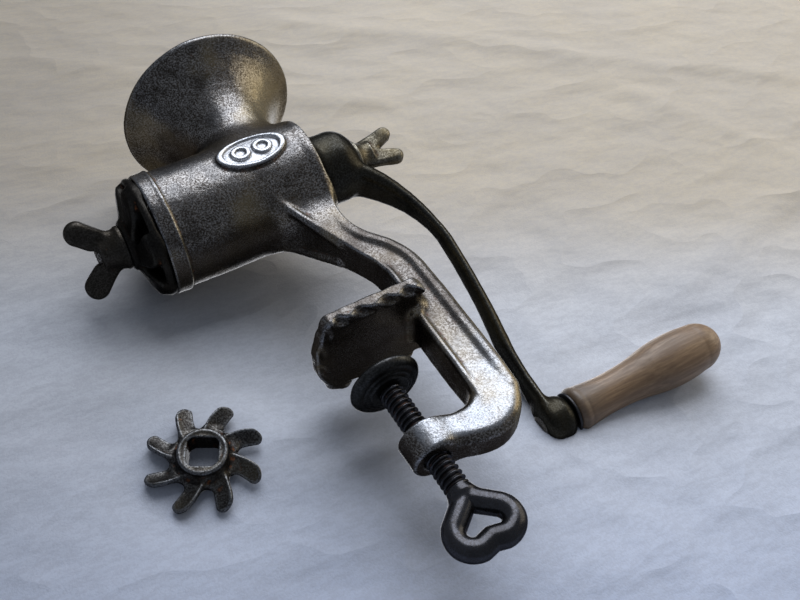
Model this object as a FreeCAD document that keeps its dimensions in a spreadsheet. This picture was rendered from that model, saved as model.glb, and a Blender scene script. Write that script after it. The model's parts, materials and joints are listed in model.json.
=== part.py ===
import FreeCAD, Part
import math
import os

# A hand-cranked food chopper that clamps under a table edge. Millimetres, +Z up.
# The origin is on the underside of the upper clamp jaw, on the clamp screw's axis.
# The barrel lies along X: the cutter end points to -X, the crank end to +X.

DIMENSIONS = {
    "axis_height": 88.9,      # barrel axis above the jaw's seat
    "barrel_front": -43.5,    # x of the barrel's open mouth
    "barrel_length": 68.2,
    "barrel_radius": 23.8,
    "bore_radius": 20.0,
    "rear_wall": 6.0,
    "flange_radius": 25.4,
    "flange_width": 6.0,
    "rib_height": 1.2,        # ribs inside the bore that hold the food back
    "rib_length": 27.0,
    "hopper_offset": 5.0,     # x of the hopper's centre line
    "hopper_radius": 38.0,
    "hopper_top": 147.4,      # z of the hopper's outer rim
    "neck_radius": 18.0,
    "flare_start": 111.5,     # z where the neck starts to flare
    "hopper_wall": 2.8,
    "badge_length": 29.0,     # plain oval boss on the barrel's side
    "badge_width": 17.0,
    "badge_offset": 1.6,      # x of the badge's centre
    "leg_thickness": 16.0,
    "leg_inside": 21.6,       # x of the clamp throat's back
    "leg_outside": 37.8,
    "channel_depth": 1.3,     # channel between the beads on the leg's faces
    "jaw_thickness": 5.0,
    "jaw_width": 40.5,
    "jaw_front": -13.5,
    "jaw_rear": 26.5,
    "arm_top": -41.3,         # the clamp's lower arm
    "arm_bottom": -56.5,
    "boss_radius": 8.7,
    "boss_top": -40.6,
    "boss_bottom": -52.2,
    "clamp_radius": 4.5,      # the clamp screw's thread, outside
    "clamp_top": -17.5,
    "clamp_end": -63.0,
    "clamp_neck": 3.4,        # plain neck on which the swivel pad turns
    "bow_rod": 4.1,
    "bow_top": -68.6,
    "bow_half_width": 10.1,
    "bow_bottom": -85.2,
    "bow_lobe": 5.6,
    "bow_dent": 0.95,
    "pad_radius": 13.3,
    "pad_top": -15.9,
    "pad_bottom": -21.4,
    "pad_recess": 5.2,        # radius of the recess round the screw's riveted end
    "shaft_end": -66.2,       # front end of the feed screw's stud
    "stud_radius": 3.5,
    "drive_radius": 6.4,      # squared length that drives the cutter, with round corners
    "drive_flat": 5.3,
    "drive_depth": 1.5,       # how far inside the mouth the drive ends
    "core_radius": 9.0,
    "collar_step": 4.0,       # thrust collar's height over the core
    "collar_width": 6.0,
    "flight_radius": 18.6,
    "flight_pitch": 17.0,
    "flight_start": -39.0,
    "flight_length": 49.0,
    "journal_radius": 6.5,
    "square_side": 9.0,
    "square_root": 1.0,       # length of the square inside the journal
    "square_end": 43.5,
    "hub_front": 25.3,
    "hub_rear": 45.0,
    "hub_radius": 15.0,
    "crank_radius": 134.7,
    "crank_angle": 18.7,      # crank's angle from straight down, towards +Y
    "crank_end_radius": 9.2,
    "crank_end_front": 56.4,  # x of the faces of the crank's end boss
    "crank_end_rear": 69.3,
    "thumb_shank": 2.9,
    "grip_start": 70.6,
    "grip_length": 74.0,
    "grip_radius": 10.9,
    "pin_radius": 3.2,
    "cutter_hub_radius": 9.8,
    "cutter_radius": 24.6,
    "cutter_front": -54.5,
    "cutter_slot": 6.5,
    "nut_wing_thickness": 5.4,
    "thumb_wing_thickness": 4.6,
    "star_hub_radius": 9.4,
    "star_radius": 20.2,
    "star_thickness": 1.8,
    "running_gap": 0.05,
    "face_gap": 0.1,
}

CUTTER_ARMS = 6
STAR_BLADES = 8
BORE_RIBS = 6
NUT_TURN = 61.0     # rest angles of the wing nut and the thumb screw about the barrel axis
THUMB_TURN = 14.0
X_AXIS = FreeCAD.Vector(1, 0, 0)
Y_AXIS = FreeCAD.Vector(0, 1, 0)
Z_AXIS = FreeCAD.Vector(0, 0, 1)
# The spare star cutter lies beside the clamp, its collar facing the machine's open side.
STAR_CENTRE = FreeCAD.Vector(-63.5, 15.85, -4.0)
STAR_BLADE_WAY = FreeCAD.Vector(1, 0, 0.05)
STAR_COLLAR_WAY = FreeCAD.Vector(0.015, -0.995, -0.103)
STAR_DRIVE_TURN = -31.0     # the star's drive hole isn't in line with a blade
STAR_PLACE = FreeCAD.Placement(
    STAR_CENTRE, FreeCAD.Rotation(STAR_BLADE_WAY, FreeCAD.Vector(), STAR_COLLAR_WAY, "ZXY"))

doc = FreeCAD.newDocument("FoodChopper")
sheet = doc.addObject("Spreadsheet::Sheet", "Dimensions")


def fill_sheet():
    """Write one driving dimension on each row, with its name as the cell's alias."""
    for row, (alias, value) in enumerate(DIMENSIONS.items(), start=1):
        sheet.set("A%d" % row, alias)
        sheet.set("B%d" % row, str(value))
        sheet.setAlias("B%d" % row, alias)
    doc.recompute()


def size(alias):
    """The value that the sheet holds for a dimension."""
    return float(getattr(sheet, alias))


def bind(obj, **expressions):
    """Bind properties to expressions in which a dimension's alias stands alone."""
    for name, expression in expressions.items():
        for alias in sorted(DIMENSIONS, key=len, reverse=True):
            expression = expression.replace("#" + alias, "Dimensions." + alias)
        obj.setExpression(name.replace("__", "."), expression)
    return obj


def cylinder(name, radius, length, along, start):
    """A cylinder along X or Z. Its sizes and its start are expressions."""
    obj = doc.addObject("Part::Cylinder", name)
    bind(obj, Radius=radius, Height=length)
    if along == "x":
        obj.Placement = FreeCAD.Placement(FreeCAD.Vector(), FreeCAD.Rotation(Y_AXIS, 90))
        bind(obj, Placement__Base__x=start)
    else:
        bind(obj, Placement__Base__z=start)
    return obj


def box(name, length, width, height, corner):
    """A box whose sizes and low corner are expressions."""
    obj = doc.addObject("Part::Box", name)
    bind(obj, Length=length, Width=width, Height=height)
    bind(obj, Placement__Base__x=corner[0], Placement__Base__y=corner[1], Placement__Base__z=corner[2])
    return obj


def place_turned(obj, turn, corner, lean=FreeCAD.Rotation()):
    """Put a box's corner where a turn about X takes it, leaning the box first."""
    for axis in ("x", "y", "z"):
        obj.setExpression("Placement.Base." + axis, None)
    obj.Placement = FreeCAD.Placement(turn.multVec(corner), turn.multiply(lean))


def fuse(name, shapes):
    obj = doc.addObject("Part::MultiFuse", name)
    obj.Shapes = shapes
    obj.Refine = True
    return obj


def fuse_in_turn(name, shapes):
    """Join shapes one after another, for solids whose joint is too fine for one fuse."""
    whole = shapes[0]
    for index, shape in enumerate(shapes[1:]):
        joined = doc.addObject("Part::Fuse", "%s_%d" % (name, index))
        joined.Base = whole
        joined.Tool = shape
        whole = joined
    return whole


def cut(name, base, tool):
    obj = doc.addObject("Part::Cut", name)
    obj.Base = base
    obj.Tool = tool
    obj.Refine = True
    return obj


def common(name, shapes):
    obj = doc.addObject("Part::MultiCommon", name)
    obj.Shapes = shapes
    return obj


def origin_plane(body, role):
    return [f for f in body.Origin.OriginFeatures if f.Role == role][0]


def sketch_in(body, name, role, geometry):
    """A sketch on one of the body's own origin planes, made of the given closed outline."""
    sketch = body.newObject("Sketcher::SketchObject", name)
    sketch.AttachmentSupport = [(origin_plane(body, role), "")]
    sketch.MapMode = "FlatFace"
    sketch.addGeometry(geometry, False)
    doc.recompute()
    return sketch


def outline(points):
    """Lines and three-point arcs through 2D points; ("arc", middle, end) makes an arc."""
    geometry = []
    here = points[0]
    for item in points[1:] + [points[0]]:
        if item[0] == "arc":
            geometry.append(Part.Arc(vector(here), vector(item[1]), vector(item[2])))
            here = item[2]
        elif item != here:
            geometry.append(Part.LineSegment(vector(here), vector(item)))
            here = item
    return geometry


def vector(point):
    return FreeCAD.Vector(point[0], point[1], 0)


def padded(name, role, points, thickness):
    """A body with one outline padded to both sides of its plane."""
    body = doc.addObject("PartDesign::Body", name)
    sketch = sketch_in(body, name + "_outline", role, outline(points))
    pad = body.newObject("PartDesign::Pad", name + "_pad")
    pad.Profile = sketch
    pad.Midplane = True
    bind(pad, Length=thickness)
    doc.recompute()
    return body


def revolved(name, role, points, axis_role):
    """A body turned from one outline about one of the origin's axes."""
    body = doc.addObject("PartDesign::Body", name)
    sketch = sketch_in(body, name + "_outline", role, outline(points))
    turn = body.newObject("PartDesign::Revolution", name + "_turn")
    turn.Profile = sketch
    turn.ReferenceAxis = (origin_plane(body, axis_role), [""])
    turn.Angle = 360
    doc.recompute()
    return body


def finished(label, obj, placement=None):
    """Name a sub-part and put it in its place on the machine."""
    obj.Label = label
    if placement is not None:
        obj.Placement = placement
    sub_parts.append(obj)
    return obj


def on_barrel_axis(turn=0.0):
    """From a piece's own frame, with its axis on X, to the barrel's axis."""
    return FreeCAD.Placement(FreeCAD.Vector(0, 0, size("axis_height")), FreeCAD.Rotation(X_AXIS, turn))


def hopper_outline(inset, top_drop):
    """Half section of the hopper: neck, round flare and rim. Inset makes the inner surface."""
    neck = size("neck_radius")
    start = size("flare_start")
    rise = size("hopper_top") - start
    spread = size("hopper_radius") - neck
    arc_radius = (spread ** 2 + rise ** 2) / (2 * spread)
    rim_angle = math.atan2(rise, arc_radius - spread)
    centre = neck + arc_radius
    radius = arc_radius + inset

    def on_arc(angle):
        return (centre - radius * math.cos(angle), start + radius * math.sin(angle))

    rim = on_arc(rim_angle)
    foot = size("axis_height") + top_drop
    points = [(0.0, foot), (neck - inset, foot), (neck - inset, start)]
    points.append(("arc", on_arc(rim_angle / 2), rim))
    points.append((0.0, rim[1]))
    return points


def leg_outline():
    """Side view of the leg: a brace under the barrel, the throat's back and the lower arm."""
    inside = size("leg_inside")
    outside = size("leg_outside")
    top = size("arm_top")
    bottom = size("arm_bottom")
    corner = 17.0
    throat = 6.5
    slope = math.sqrt(0.5)
    return [
        (-9.0, 69.0),
        ("arc", (7.0, 52.5), (inside - 1.0, 31.0)),
        (inside, 22.0),
        (inside, top + throat),
        ("arc", (inside - throat + throat * slope, top + throat - throat * slope), (inside - throat, top)),
        (0.0, top),
        (0.0, size("boss_bottom") + 1.0),
        (6.0, size("boss_bottom") + 0.6),
        ("arc", (outside - corner - 6.0, bottom + 0.4), (outside - corner, bottom)),
        ("arc", (outside - corner + corner * slope, bottom + corner - corner * slope),
         (outside, bottom + corner)),
        (outside, 17.0),
        ("arc", (outside - 1.2, 27.0), (33.0, 35.6)),
        (27.5, 42.0),
        ("arc", (23.6, 49.0), (22.4, 58.0)),
        (22.4, 69.0),
    ]


def leg_channel_outline():
    """The shallow channel between the beads of the leg's two faces."""
    inside = size("leg_inside") + 3.6
    outside = size("leg_outside") - 3.8
    return [
        (inside, 24.0),
        (inside, -27.0),
        ("arc", ((inside + outside) / 2, -33.0), (outside, -27.0)),
        (outside, 16.0),
        ("arc", (outside - 1.4, 24.0), (outside - 6.0, 32.0)),
        (16.5, 44.0),
        ("arc", (14.2, 44.4), (14.8, 41.8)),
        ("arc", (inside - 2.8, 33.0), (inside, 24.0)),
    ]


def jaw_outline():
    """Plan of the jaw plate: rounded corners and a bulging front edge."""
    front = size("jaw_front")
    rear = size("jaw_rear")
    half = size("jaw_width") / 2
    corner = 5.0
    bulge = 3.6
    slope = math.sqrt(0.5)
    return [
        (rear - corner, -half),
        ("arc", (rear - corner + corner * slope, -half + corner - corner * slope), (rear, -half + corner)),
        (rear, half - corner),
        ("arc", (rear - corner + corner * slope, half - corner + corner * slope), (rear - corner, half)),
        (front + corner, half),
        ("arc", (front + corner - corner * slope, half - corner + corner * slope), (front, half - corner)),
        ("arc", (front - bulge, 0.0), (front, corner - half)),
        ("arc", (front + corner - corner * slope, corner - half - corner * slope), (front + corner, -half)),
    ]


def make_badge():
    """An oval boss that follows the barrel's -Y side: a low field inside a raised rim."""
    half_length = size("badge_length") / 2
    half_width = size("badge_width") / 2
    rim_width = 2.2
    pieces = []
    for name, inset, rise in (("badge_rim", 0.0, "1.9"), ("badge_field", rim_width, "0.9")):
        body = doc.addObject("PartDesign::Body", name)
        oval = Part.Ellipse(FreeCAD.Vector(), half_length - inset, half_width - inset)
        sketch = sketch_in(body, name + "_outline", "XZ_Plane", [oval])
        pad = body.newObject("PartDesign::Pad", name + "_pad")
        pad.Profile = sketch
        bind(pad, Length="#barrel_radius + 5")
        bind(body, Placement__Base__x="#badge_offset", Placement__Base__z="#axis_height")
        skin = cylinder(name + "_skin", "#barrel_radius + " + rise, "#badge_length + 4", "x",
                        "#badge_offset - #badge_length / 2 - 2")
        bind(skin, Placement__Base__z="#axis_height")
        pieces.append(common(name + "_solid", [body, skin]))
    rim = cut("badge_ring", pieces[0], badge_hollow(half_length - rim_width, half_width - rim_width))
    return [rim, pieces[1]]


def badge_hollow(half_length, half_width):
    """The oval hollow inside the badge's rim."""
    name = "badge_hollow"
    body = doc.addObject("PartDesign::Body", name)
    sketch = sketch_in(body, name + "_outline", "XZ_Plane",
                       [Part.Ellipse(FreeCAD.Vector(), half_length, half_width)])
    pad = body.newObject("PartDesign::Pad", name + "_pad")
    pad.Profile = sketch
    bind(pad, Length="#barrel_radius + 10")
    bind(body, Placement__Base__x="#badge_offset", Placement__Base__z="#axis_height")
    return body


def make_leg():
    """The leg with a shallow channel in each face, so that both edges stand up as beads."""
    leg = padded("leg", "XZ_Plane", leg_outline(), "#leg_thickness")
    channels = []
    for side, sign in (("near", -1), ("far", 1)):
        channel = padded("channel_" + side, "XZ_Plane", leg_channel_outline(), "#channel_depth * 2")
        bind(channel, Placement__Base__y="%d * #leg_thickness / 2" % sign)
        channels.append(channel)
    return cut("leg_channelled", leg, fuse("leg_channels", channels))


def make_ribs():
    """Straight ribs in the front half of the bore. They stop the food from turning."""
    ribs = []
    low = size("bore_radius") - size("rib_height")
    for index in range(BORE_RIBS):
        rib = box("rib_%d" % index, "#rib_length", "3", "#rib_height + 1", ("0", "0", "0"))
        turn = FreeCAD.Rotation(X_AXIS, 30 + index * 360 / BORE_RIBS)
        place_turned(rib, turn, FreeCAD.Vector(size("barrel_front") + 3, -1.5, low))
        rib.Placement.Base.z += size("axis_height")
        ribs.append(rib)
    return ribs


def make_casting():
    """Barrel, hopper, leg, jaw, lower arm and screw boss: one iron casting."""
    height = "#axis_height"
    barrel = cylinder("barrel_outside", "#barrel_radius", "#barrel_length", "x", "#barrel_front")
    flange = cylinder("barrel_flange", "#flange_radius", "#flange_width", "x", "#barrel_front")
    for obj in (barrel, flange):
        bind(obj, Placement__Base__z=height)
    hopper = revolved("hopper_outside", "XZ_Plane", hopper_outline(0.0, 4.0), "Z_Axis")
    bind(hopper, Placement__Base__x="#hopper_offset")
    jaw = padded("jaw", "XY_Plane", jaw_outline(), "#jaw_thickness")
    bind(jaw, Placement__Base__z="#jaw_thickness / 2")
    boss = cylinder("screw_boss", "#boss_radius", "#boss_top - #boss_bottom", "z", "#boss_bottom")
    solid = fuse("casting_solid", [barrel, flange, hopper, make_leg(), jaw, boss] + make_badge())

    bore_length = "#barrel_length - #rear_wall + 1"
    bore = cylinder("barrel_bore", "#bore_radius", bore_length, "x", "#barrel_front - 1")
    shaft_hole = cylinder("shaft_hole", "#journal_radius + #running_gap", "#barrel_length", "x", "0")
    for obj in (bore, shaft_hole):
        bind(obj, Placement__Base__z=height)
    hopper_hole = revolved("hopper_inside", "XZ_Plane", hopper_outline(size("hopper_wall"), 8.0), "Z_Axis")
    bind(hopper_hole, Placement__Base__x="#hopper_offset")
    boss_length = "#boss_top - #boss_bottom + 2"
    boss_hole = cylinder("boss_hole", "#clamp_radius + #running_gap", boss_length, "z", "#boss_bottom - 1")
    holes = fuse("casting_holes", [bore, shaft_hole, hopper_hole, boss_hole])
    bored = cut("casting_bored", solid, holes)
    return fuse("casting", [bored] + make_ribs())


def make_feed_screw():
    """The worm: stud, flatted drive, flighted core, thrust collar, journal and square end."""
    front = size("barrel_front")
    wall = front + size("barrel_length") - size("rear_wall")
    gap = size("face_gap")
    drive_start = size("cutter_front") + gap
    drive_stop = front + size("drive_depth")
    core = size("core_radius")
    collar = core + size("collar_step")
    collar_start = wall - size("collar_width")
    journal_stop = size("hub_front") - gap
    chamfer = 0.8
    body = revolved("screw_core", "XZ_Plane", [
        (size("shaft_end"), 0.0),
        (size("shaft_end"), size("stud_radius") - chamfer),
        (size("shaft_end") + chamfer, size("stud_radius")),
        (drive_start, size("stud_radius")),
        (drive_start, size("drive_radius")),
        (drive_stop, size("drive_radius")),
        (drive_stop, core),
        (collar_start - 2.0, core + 1.5),
        (collar_start, collar),
        (wall - gap, collar),
        (wall - gap, size("journal_radius")),
        (journal_stop, size("journal_radius")),
        (journal_stop, 0.0),
    ], "X_Axis")
    flats = []
    for index in range(4):
        flat = box("drive_flat_%d" % index, "#barrel_front + #drive_depth - #cutter_front - #face_gap", "16", "6",
                   ("0", "0", "0"))
        turn = FreeCAD.Rotation(X_AXIS, 90 * index)
        corner = FreeCAD.Vector(drive_start, -8, size("drive_flat"))
        place_turned(flat, turn, corner)
        flats.append(flat)
    square = box("square_end", "#square_end - #hub_front + #square_root", "#square_side",
                 "#square_side", ("#hub_front - #square_root", "-#square_side / 2",
                                  "-#square_side / 2"))
    turned = cut("screw_flatted", body, fuse("screw_flats", flats))
    flight = make_flight()
    solid = fuse("screw_solid", [turned, square, flight])
    tapped = cylinder("screw_tapped_hole", "#thumb_shank + #running_gap", "16", "x", "#square_end - 15")
    return cut("screw", solid, tapped)


def make_flight():
    """The worm's helical flight, swept along a helix about X."""
    pitch = size("flight_pitch")
    length = size("flight_length")
    radius = size("flight_radius")
    root = size("core_radius") - 1.0
    helix = Part.makeHelix(pitch, length, root, 0, False)
    profile = Part.makePolygon([
        FreeCAD.Vector(root, 0, -2.6),
        FreeCAD.Vector(radius, 0, -1.1),
        FreeCAD.Vector(radius, 0, 1.1),
        FreeCAD.Vector(root, 0, 2.6),
        FreeCAD.Vector(root, 0, -2.6),
    ])
    shape = Part.Wire(helix).makePipeShell([profile], True, True)
    if shape.ShapeType != "Solid":
        shape = Part.Solid(shape)
    flight = doc.addObject("Part::Feature", "screw_flight")
    flight.Shape = shape
    place = FreeCAD.Placement(FreeCAD.Vector(size("flight_start"), 0, 0), FreeCAD.Rotation(Y_AXIS, 90))
    flight.Placement = place
    return flight


def drive_hole(name, start, length):
    """The square hole with round corners that slides over the feed screw's drive."""
    circle = cylinder(name + "_round", "#drive_radius + #running_gap", length, "x", start)
    side = "(#drive_flat + #running_gap) * 2"
    corner = "-#drive_flat - #running_gap"
    square = box(name + "_square", length, side, side, (start, corner, corner))
    return common(name, [circle, square])


def make_front_cutter():
    """A dished cutter: a hub with blades that lean back to the barrel's mouth."""
    mouth = size("barrel_front") - size("face_gap")
    front = size("cutter_front")
    hub = size("cutter_hub_radius")
    rim = size("cutter_radius")
    disc = revolved("cutter_disc", "XZ_Plane", [
        (front, 0.0),
        (front, hub - 1.2),
        (front + 1.2, hub),
        (front + 2.0, hub),
        ("arc", (front + 3.0, hub + 4.5), (mouth - 4.6, rim - 4.0)),
        ("arc", (mouth - 3.4, rim - 0.8), (mouth, rim)),
        (mouth, rim - 5.5),
        (mouth - 2.4, hub + 4.0),
        (mouth + 1.4, hub - 1.0),
        (mouth + 1.4, 0.0),
    ], "X_Axis")
    slots = []
    for index in range(CUTTER_ARMS):
        slot = box("cutter_slot_%d" % index, "14", "#cutter_slot", "20", ("0", "0", "0"))
        lean = FreeCAD.Rotation(Z_AXIS, 28)
        turn = FreeCAD.Rotation(X_AXIS, index * 360 / CUTTER_ARMS)
        corner = FreeCAD.Vector(front, -size("cutter_slot") / 2 - 2.0, hub + 3.0)
        place_turned(slot, turn, corner, lean)
        slots.append(slot)
    holes = slots + [drive_hole("cutter_drive", "#cutter_front - 1", "20")]
    return cut("cutter", disc, fuse("cutter_holes", holes))


def wing_outline(sign, base, root, notch, tip, spread, tip_radius):
    """Side view of a pair of wings that open away from the base, to +X or -X by sign."""
    def on_tip(side, degrees):
        angle = math.radians(degrees)
        x = tip + sign * tip_radius * math.cos(angle)
        return (x, side * (spread + tip_radius * math.sin(angle)))

    points = [(base, -root)]
    for side in (-1, 1):
        first, last = ((120, -75) if side < 0 else (-75, 120))
        ends = [on_tip(side, first), on_tip(side, 22), on_tip(side, last)]
        if side < 0:
            waist = ((base + ends[0][0]) / 2, -(root + spread) / 2 - 0.6)
            points.append(("arc", waist, ends[0]))
        else:
            points.append(("arc", (notch, 0.0), ends[0]))
        points.append(("arc", ends[1], ends[2]))
    waist = ((base + points[-1][2][0]) / 2, (root + spread) / 2 + 0.6)
    points.append(("arc", waist, (base, root)))
    return points


def make_front_wing_nut():
    """The wing nut that holds the cutter on the feed screw's stud."""
    base = size("cutter_front") - size("face_gap") / 2
    collar = revolved("front_nut_collar", "XZ_Plane", [
        (base, 0.0),
        (base, 8.8),
        (base - 1.6, 8.8),
        ("arc", (base - 5.0, 6.6), (base - 9.8, 5.8)),
        (base - 9.8, 0.0),
    ], "X_Axis")
    outline_points = wing_outline(-1, base - 1.0, 6.4, base - 8.6, base - 15.0, 10.9, 4.9)
    wings = padded("front_nut_wings", "XZ_Plane", outline_points, "#nut_wing_thickness")
    hole = cylinder("front_nut_hole", "#stud_radius + #running_gap", "30", "x", "#cutter_front - 29")
    return cut("front_nut", fuse("front_nut_solid", [collar, wings]), hole)


def make_thumb_screw():
    """The winged screw that holds the crank on the feed screw's square end."""
    base = size("hub_rear") + size("face_gap") / 2
    collar = revolved("thumb_collar", "XZ_Plane", [
        (base, 0.0),
        (base, 7.6),
        (base + 1.4, 7.6),
        ("arc", (base + 4.0, 5.4), (base + 8.0, 4.8)),
        (base + 8.0, 0.0),
    ], "X_Axis")
    outline_points = wing_outline(1, base + 0.8, 5.0, base + 12.0, base + 17.6, 6.4, 3.4)
    wings = padded("thumb_wings", "XZ_Plane", outline_points, "#thumb_wing_thickness")
    shank = cylinder("thumb_shank_rod", "#thumb_shank", "#hub_rear - #square_end + 13", "x",
                     "#square_end - 12.5")
    return fuse("thumb_screw_solid", [collar, wings, shank])


def crank_side_outline():
    """Side view of the crank arm, hanging down from the hub at the origin."""
    end = size("crank_radius")
    return [
        (33.0, 0.0),
        (33.0, -8.0),
        ("arc", (50.6, -24.0), (60.0, -47.0)),
        ("arc", (60.1, -68.0), (57.4, -98.0)),
        (57.2, -end),
        (62.6, -end),
        (62.6, -104.0),
        ("arc", (65.2, -74.0), (65.3, -50.0)),
        ("arc", (58.2, -24.8), (43.5, -6.5)),
        (43.5, 0.0),
    ]


def crank_front_outline():
    """Front view of the crank arm: wide at the hub, slim along its length."""
    end = size("crank_radius")
    return [
        (-10.5, 0.0),
        (-10.5, -6.0),
        ("arc", (-6.9, -21.0), (-5.2, -40.0)),
        (-4.9, -64.0),
        (-5.0, -112.0),
        ("arc", (-5.6, -122.0), (-8.0, -end + 4.0)),
        (-8.0, -end),
        (8.0, -end),
        (8.0, -end + 4.0),
        ("arc", (5.6, -122.0), (5.0, -112.0)),
        (4.9, -64.0),
        (5.2, -40.0),
        ("arc", (6.9, -21.0), (10.5, -6.0)),
        (10.5, 0.0),
    ]


def make_crank():
    """The cranked arm: a domed hub with a square hole, a bowed arm and an end boss."""
    front = size("hub_front")
    rear = size("hub_rear")
    radius = size("hub_radius")
    hub = revolved("crank_hub", "XZ_Plane", [
        (front, 0.0),
        (front, radius - 3.0),
        ("arc", (front + 0.9, radius - 0.9), (front + 3.0, radius)),
        (front + 11.5, radius),
        ("arc", (rear - 2.6, radius - 2.0), (rear, radius - 5.4)),
        (rear, 0.0),
    ], "X_Axis")
    side = padded("crank_side", "XZ_Plane", crank_side_outline(), "40")
    face = padded("crank_face", "YZ_Plane", crank_front_outline(), "160")
    arm = common("crank_bar", [side, face])
    end = size("crank_end_radius")
    near = size("crank_end_front")
    far = size("crank_end_rear")
    boss = revolved("crank_end", "XZ_Plane", [
        (near, 0.0),
        (near, end - 2.6),
        ("arc", (near + 0.8, end - 0.8), (near + 2.6, end)),
        (far - 2.9, end),
        ("arc", (far - 0.7, end - 0.7), (far, end - 2.2)),
        (far, 0.0),
    ], "X_Axis")
    bind(boss, Placement__Base__z="-#crank_radius")
    solid = fuse("crank_solid", [hub, arm, boss])
    square = box("crank_square", "40", "#square_side + 2 * #running_gap", "#square_side + 2 * #running_gap",
                 ("20", "-#square_side / 2 - #running_gap", "-#square_side / 2 - #running_gap"))
    pin_hole = cylinder("crank_pin_hole", "#pin_radius", "20", "x", "52")
    bind(pin_hole, Placement__Base__z="-#crank_radius")
    return cut("crank", solid, fuse("crank_holes", [square, pin_hole]))


def make_grip_pin():
    """The steel pin riveted into the crank's end, on which the wooden grip turns."""
    radius = size("pin_radius")
    head = radius + 1.6
    face = size("crank_end_front")
    end = size("grip_start") + size("grip_length") - 12.0
    return revolved("pin", "XZ_Plane", [
        (face - 0.8, 0.0),
        (face - 0.8, head - 1.2),
        (face, head),
        (face, radius),
        (end - 1.0, radius),
        (end, radius - 1.0),
        (end, 0.0),
    ], "X_Axis")


def make_grip_washer():
    """The dark iron washer between the crank's end and the wood."""
    inner = size("pin_radius") + size("running_gap")
    start = size("crank_end_rear") + size("running_gap")
    return revolved("washer", "XZ_Plane", [
        (start, inner),
        (start, 8.0),
        (start + 0.3, 8.3),
        (start + 0.9, 8.3),
        (start + 1.2, 8.0),
        (start + 1.2, inner),
    ], "X_Axis")


def make_grip():
    """The turned wooden grip: a slim waist, a full belly and a round end."""
    start = size("grip_start")
    length = size("grip_length")
    radius = size("grip_radius")
    bore = size("pin_radius") + 2 * size("running_gap")
    return revolved("grip", "XZ_Plane", [
        (start, bore),
        (start, radius - 2.8),
        ("arc", (start + 0.9, radius - 2.1), (start + 3.0, radius - 1.9)),
        ("arc", (start + 19.0, radius - 3.0), (start + 36.0, radius - 1.5)),
        ("arc", (start + 51.0, radius), (start + 62.0, radius - 0.8)),
        ("arc", (start + length - 3.6, radius - 4.0), (start + length, 1.6)),
        (start + length, 0.0),
        (start + length - 11.0, 0.0),
        (start + length - 11.0, bore),
    ], "X_Axis")


def make_clamp_screw():
    """The clamp screw: threaded rod, riveted top end and the bent bow below."""
    pad_low = size("pad_bottom")
    neck = size("clamp_neck")
    rod = revolved("clamp_rod", "XZ_Plane", [
        (0.0, size("clamp_top") + 1.3),
        (3.8, size("clamp_top") + 1.3),
        (4.6, size("clamp_top") + 0.7),
        (4.6, size("clamp_top") + 0.3),
        (neck, size("clamp_top") + 0.3),
        (neck, pad_low - 0.2),
        (size("clamp_radius") - 0.9, pad_low - 0.2),
        (size("clamp_radius"), pad_low - 1.1),
        (size("clamp_radius"), size("clamp_end")),
        (size("bow_rod"), size("clamp_end") - 1.2),
        (size("bow_rod"), size("clamp_end") - 4.0),
        (0.0, size("clamp_end") - 4.0),
    ], "Z_Axis")
    return fuse("clamp_screw_solid", [rod, make_bow()])


def bow_half(sign):
    """Half of the heart: a straight side from the apex, a round lobe and a shallow dent."""
    top = size("bow_top")
    bottom = size("bow_bottom")
    lobe = size("bow_lobe")
    lobe_x = size("bow_half_width") - lobe
    lobe_z = bottom + lobe
    dent = bottom + size("bow_dent")
    reach = lobe_z - dent
    fill = (lobe ** 2 - lobe_x ** 2 - reach ** 2) / (2 * (reach - lobe))
    fill_end = math.atan2(lobe_x, lobe_z - dent + fill)
    side = math.atan2(lobe_x, lobe_z - top) - math.asin(lobe / math.hypot(lobe_x, lobe_z - top))
    lobe_start = side - math.pi / 2
    lobe_end = fill_end + math.pi

    def on_lobe(angle):
        return FreeCAD.Vector(sign * (lobe_x + lobe * math.sin(angle)), 0, lobe_z + lobe * math.cos(angle))

    def on_fill(angle):
        return FreeCAD.Vector(sign * fill * math.sin(angle), 0, dent - fill + fill * math.cos(angle))

    apex = FreeCAD.Vector(0, 0, top)
    path = [
        Part.LineSegment(apex, on_lobe(lobe_start)).toShape(),
        Part.Arc(on_lobe(lobe_start), on_lobe((lobe_start + lobe_end) / 2), on_lobe(lobe_end)).toShape(),
        Part.Arc(on_fill(fill_end), on_fill(fill_end / 2), on_fill(0)).toShape(),
    ]
    direction = on_lobe(lobe_start) - apex
    section = Part.Wire(Part.makeCircle(size("bow_rod"), apex, direction))
    half = doc.addObject("Part::Feature", "bow_right" if sign > 0 else "bow_left")
    half.Shape = Part.Wire(path).makePipeShell([section], True, False)
    return half


def make_bow():
    """The heart-shaped bow, one round rod bent into a closed loop below the thread."""
    apex = doc.addObject("Part::Sphere", "bow_apex")
    bind(apex, Radius="#bow_rod", Placement__Base__z="#bow_top")
    return fuse_in_turn("bow", [bow_half(1), bow_half(-1), apex])


def make_swivel_pad():
    """The swivel pad: a round disc with a low collar under it and a recess on top."""
    top = size("pad_top")
    bottom = size("pad_bottom")
    radius = size("pad_radius")
    hole = size("clamp_neck") + size("running_gap")
    recess = size("pad_recess")
    floor = size("clamp_top") + 0.2
    return revolved("pad", "XZ_Plane", [
        (hole, bottom),
        (7.4, bottom),
        (8.2, bottom + 0.8),
        (radius - 3.0, bottom + 1.2),
        ("arc", (radius - 0.6, bottom + 2.2), (radius, bottom + 3.8)),
        ("arc", (radius - 0.5, top - 0.4), (radius - 1.5, top)),
        (recess, top),
        (recess, floor),
        (hole, floor),
    ], "Z_Axis")


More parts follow.
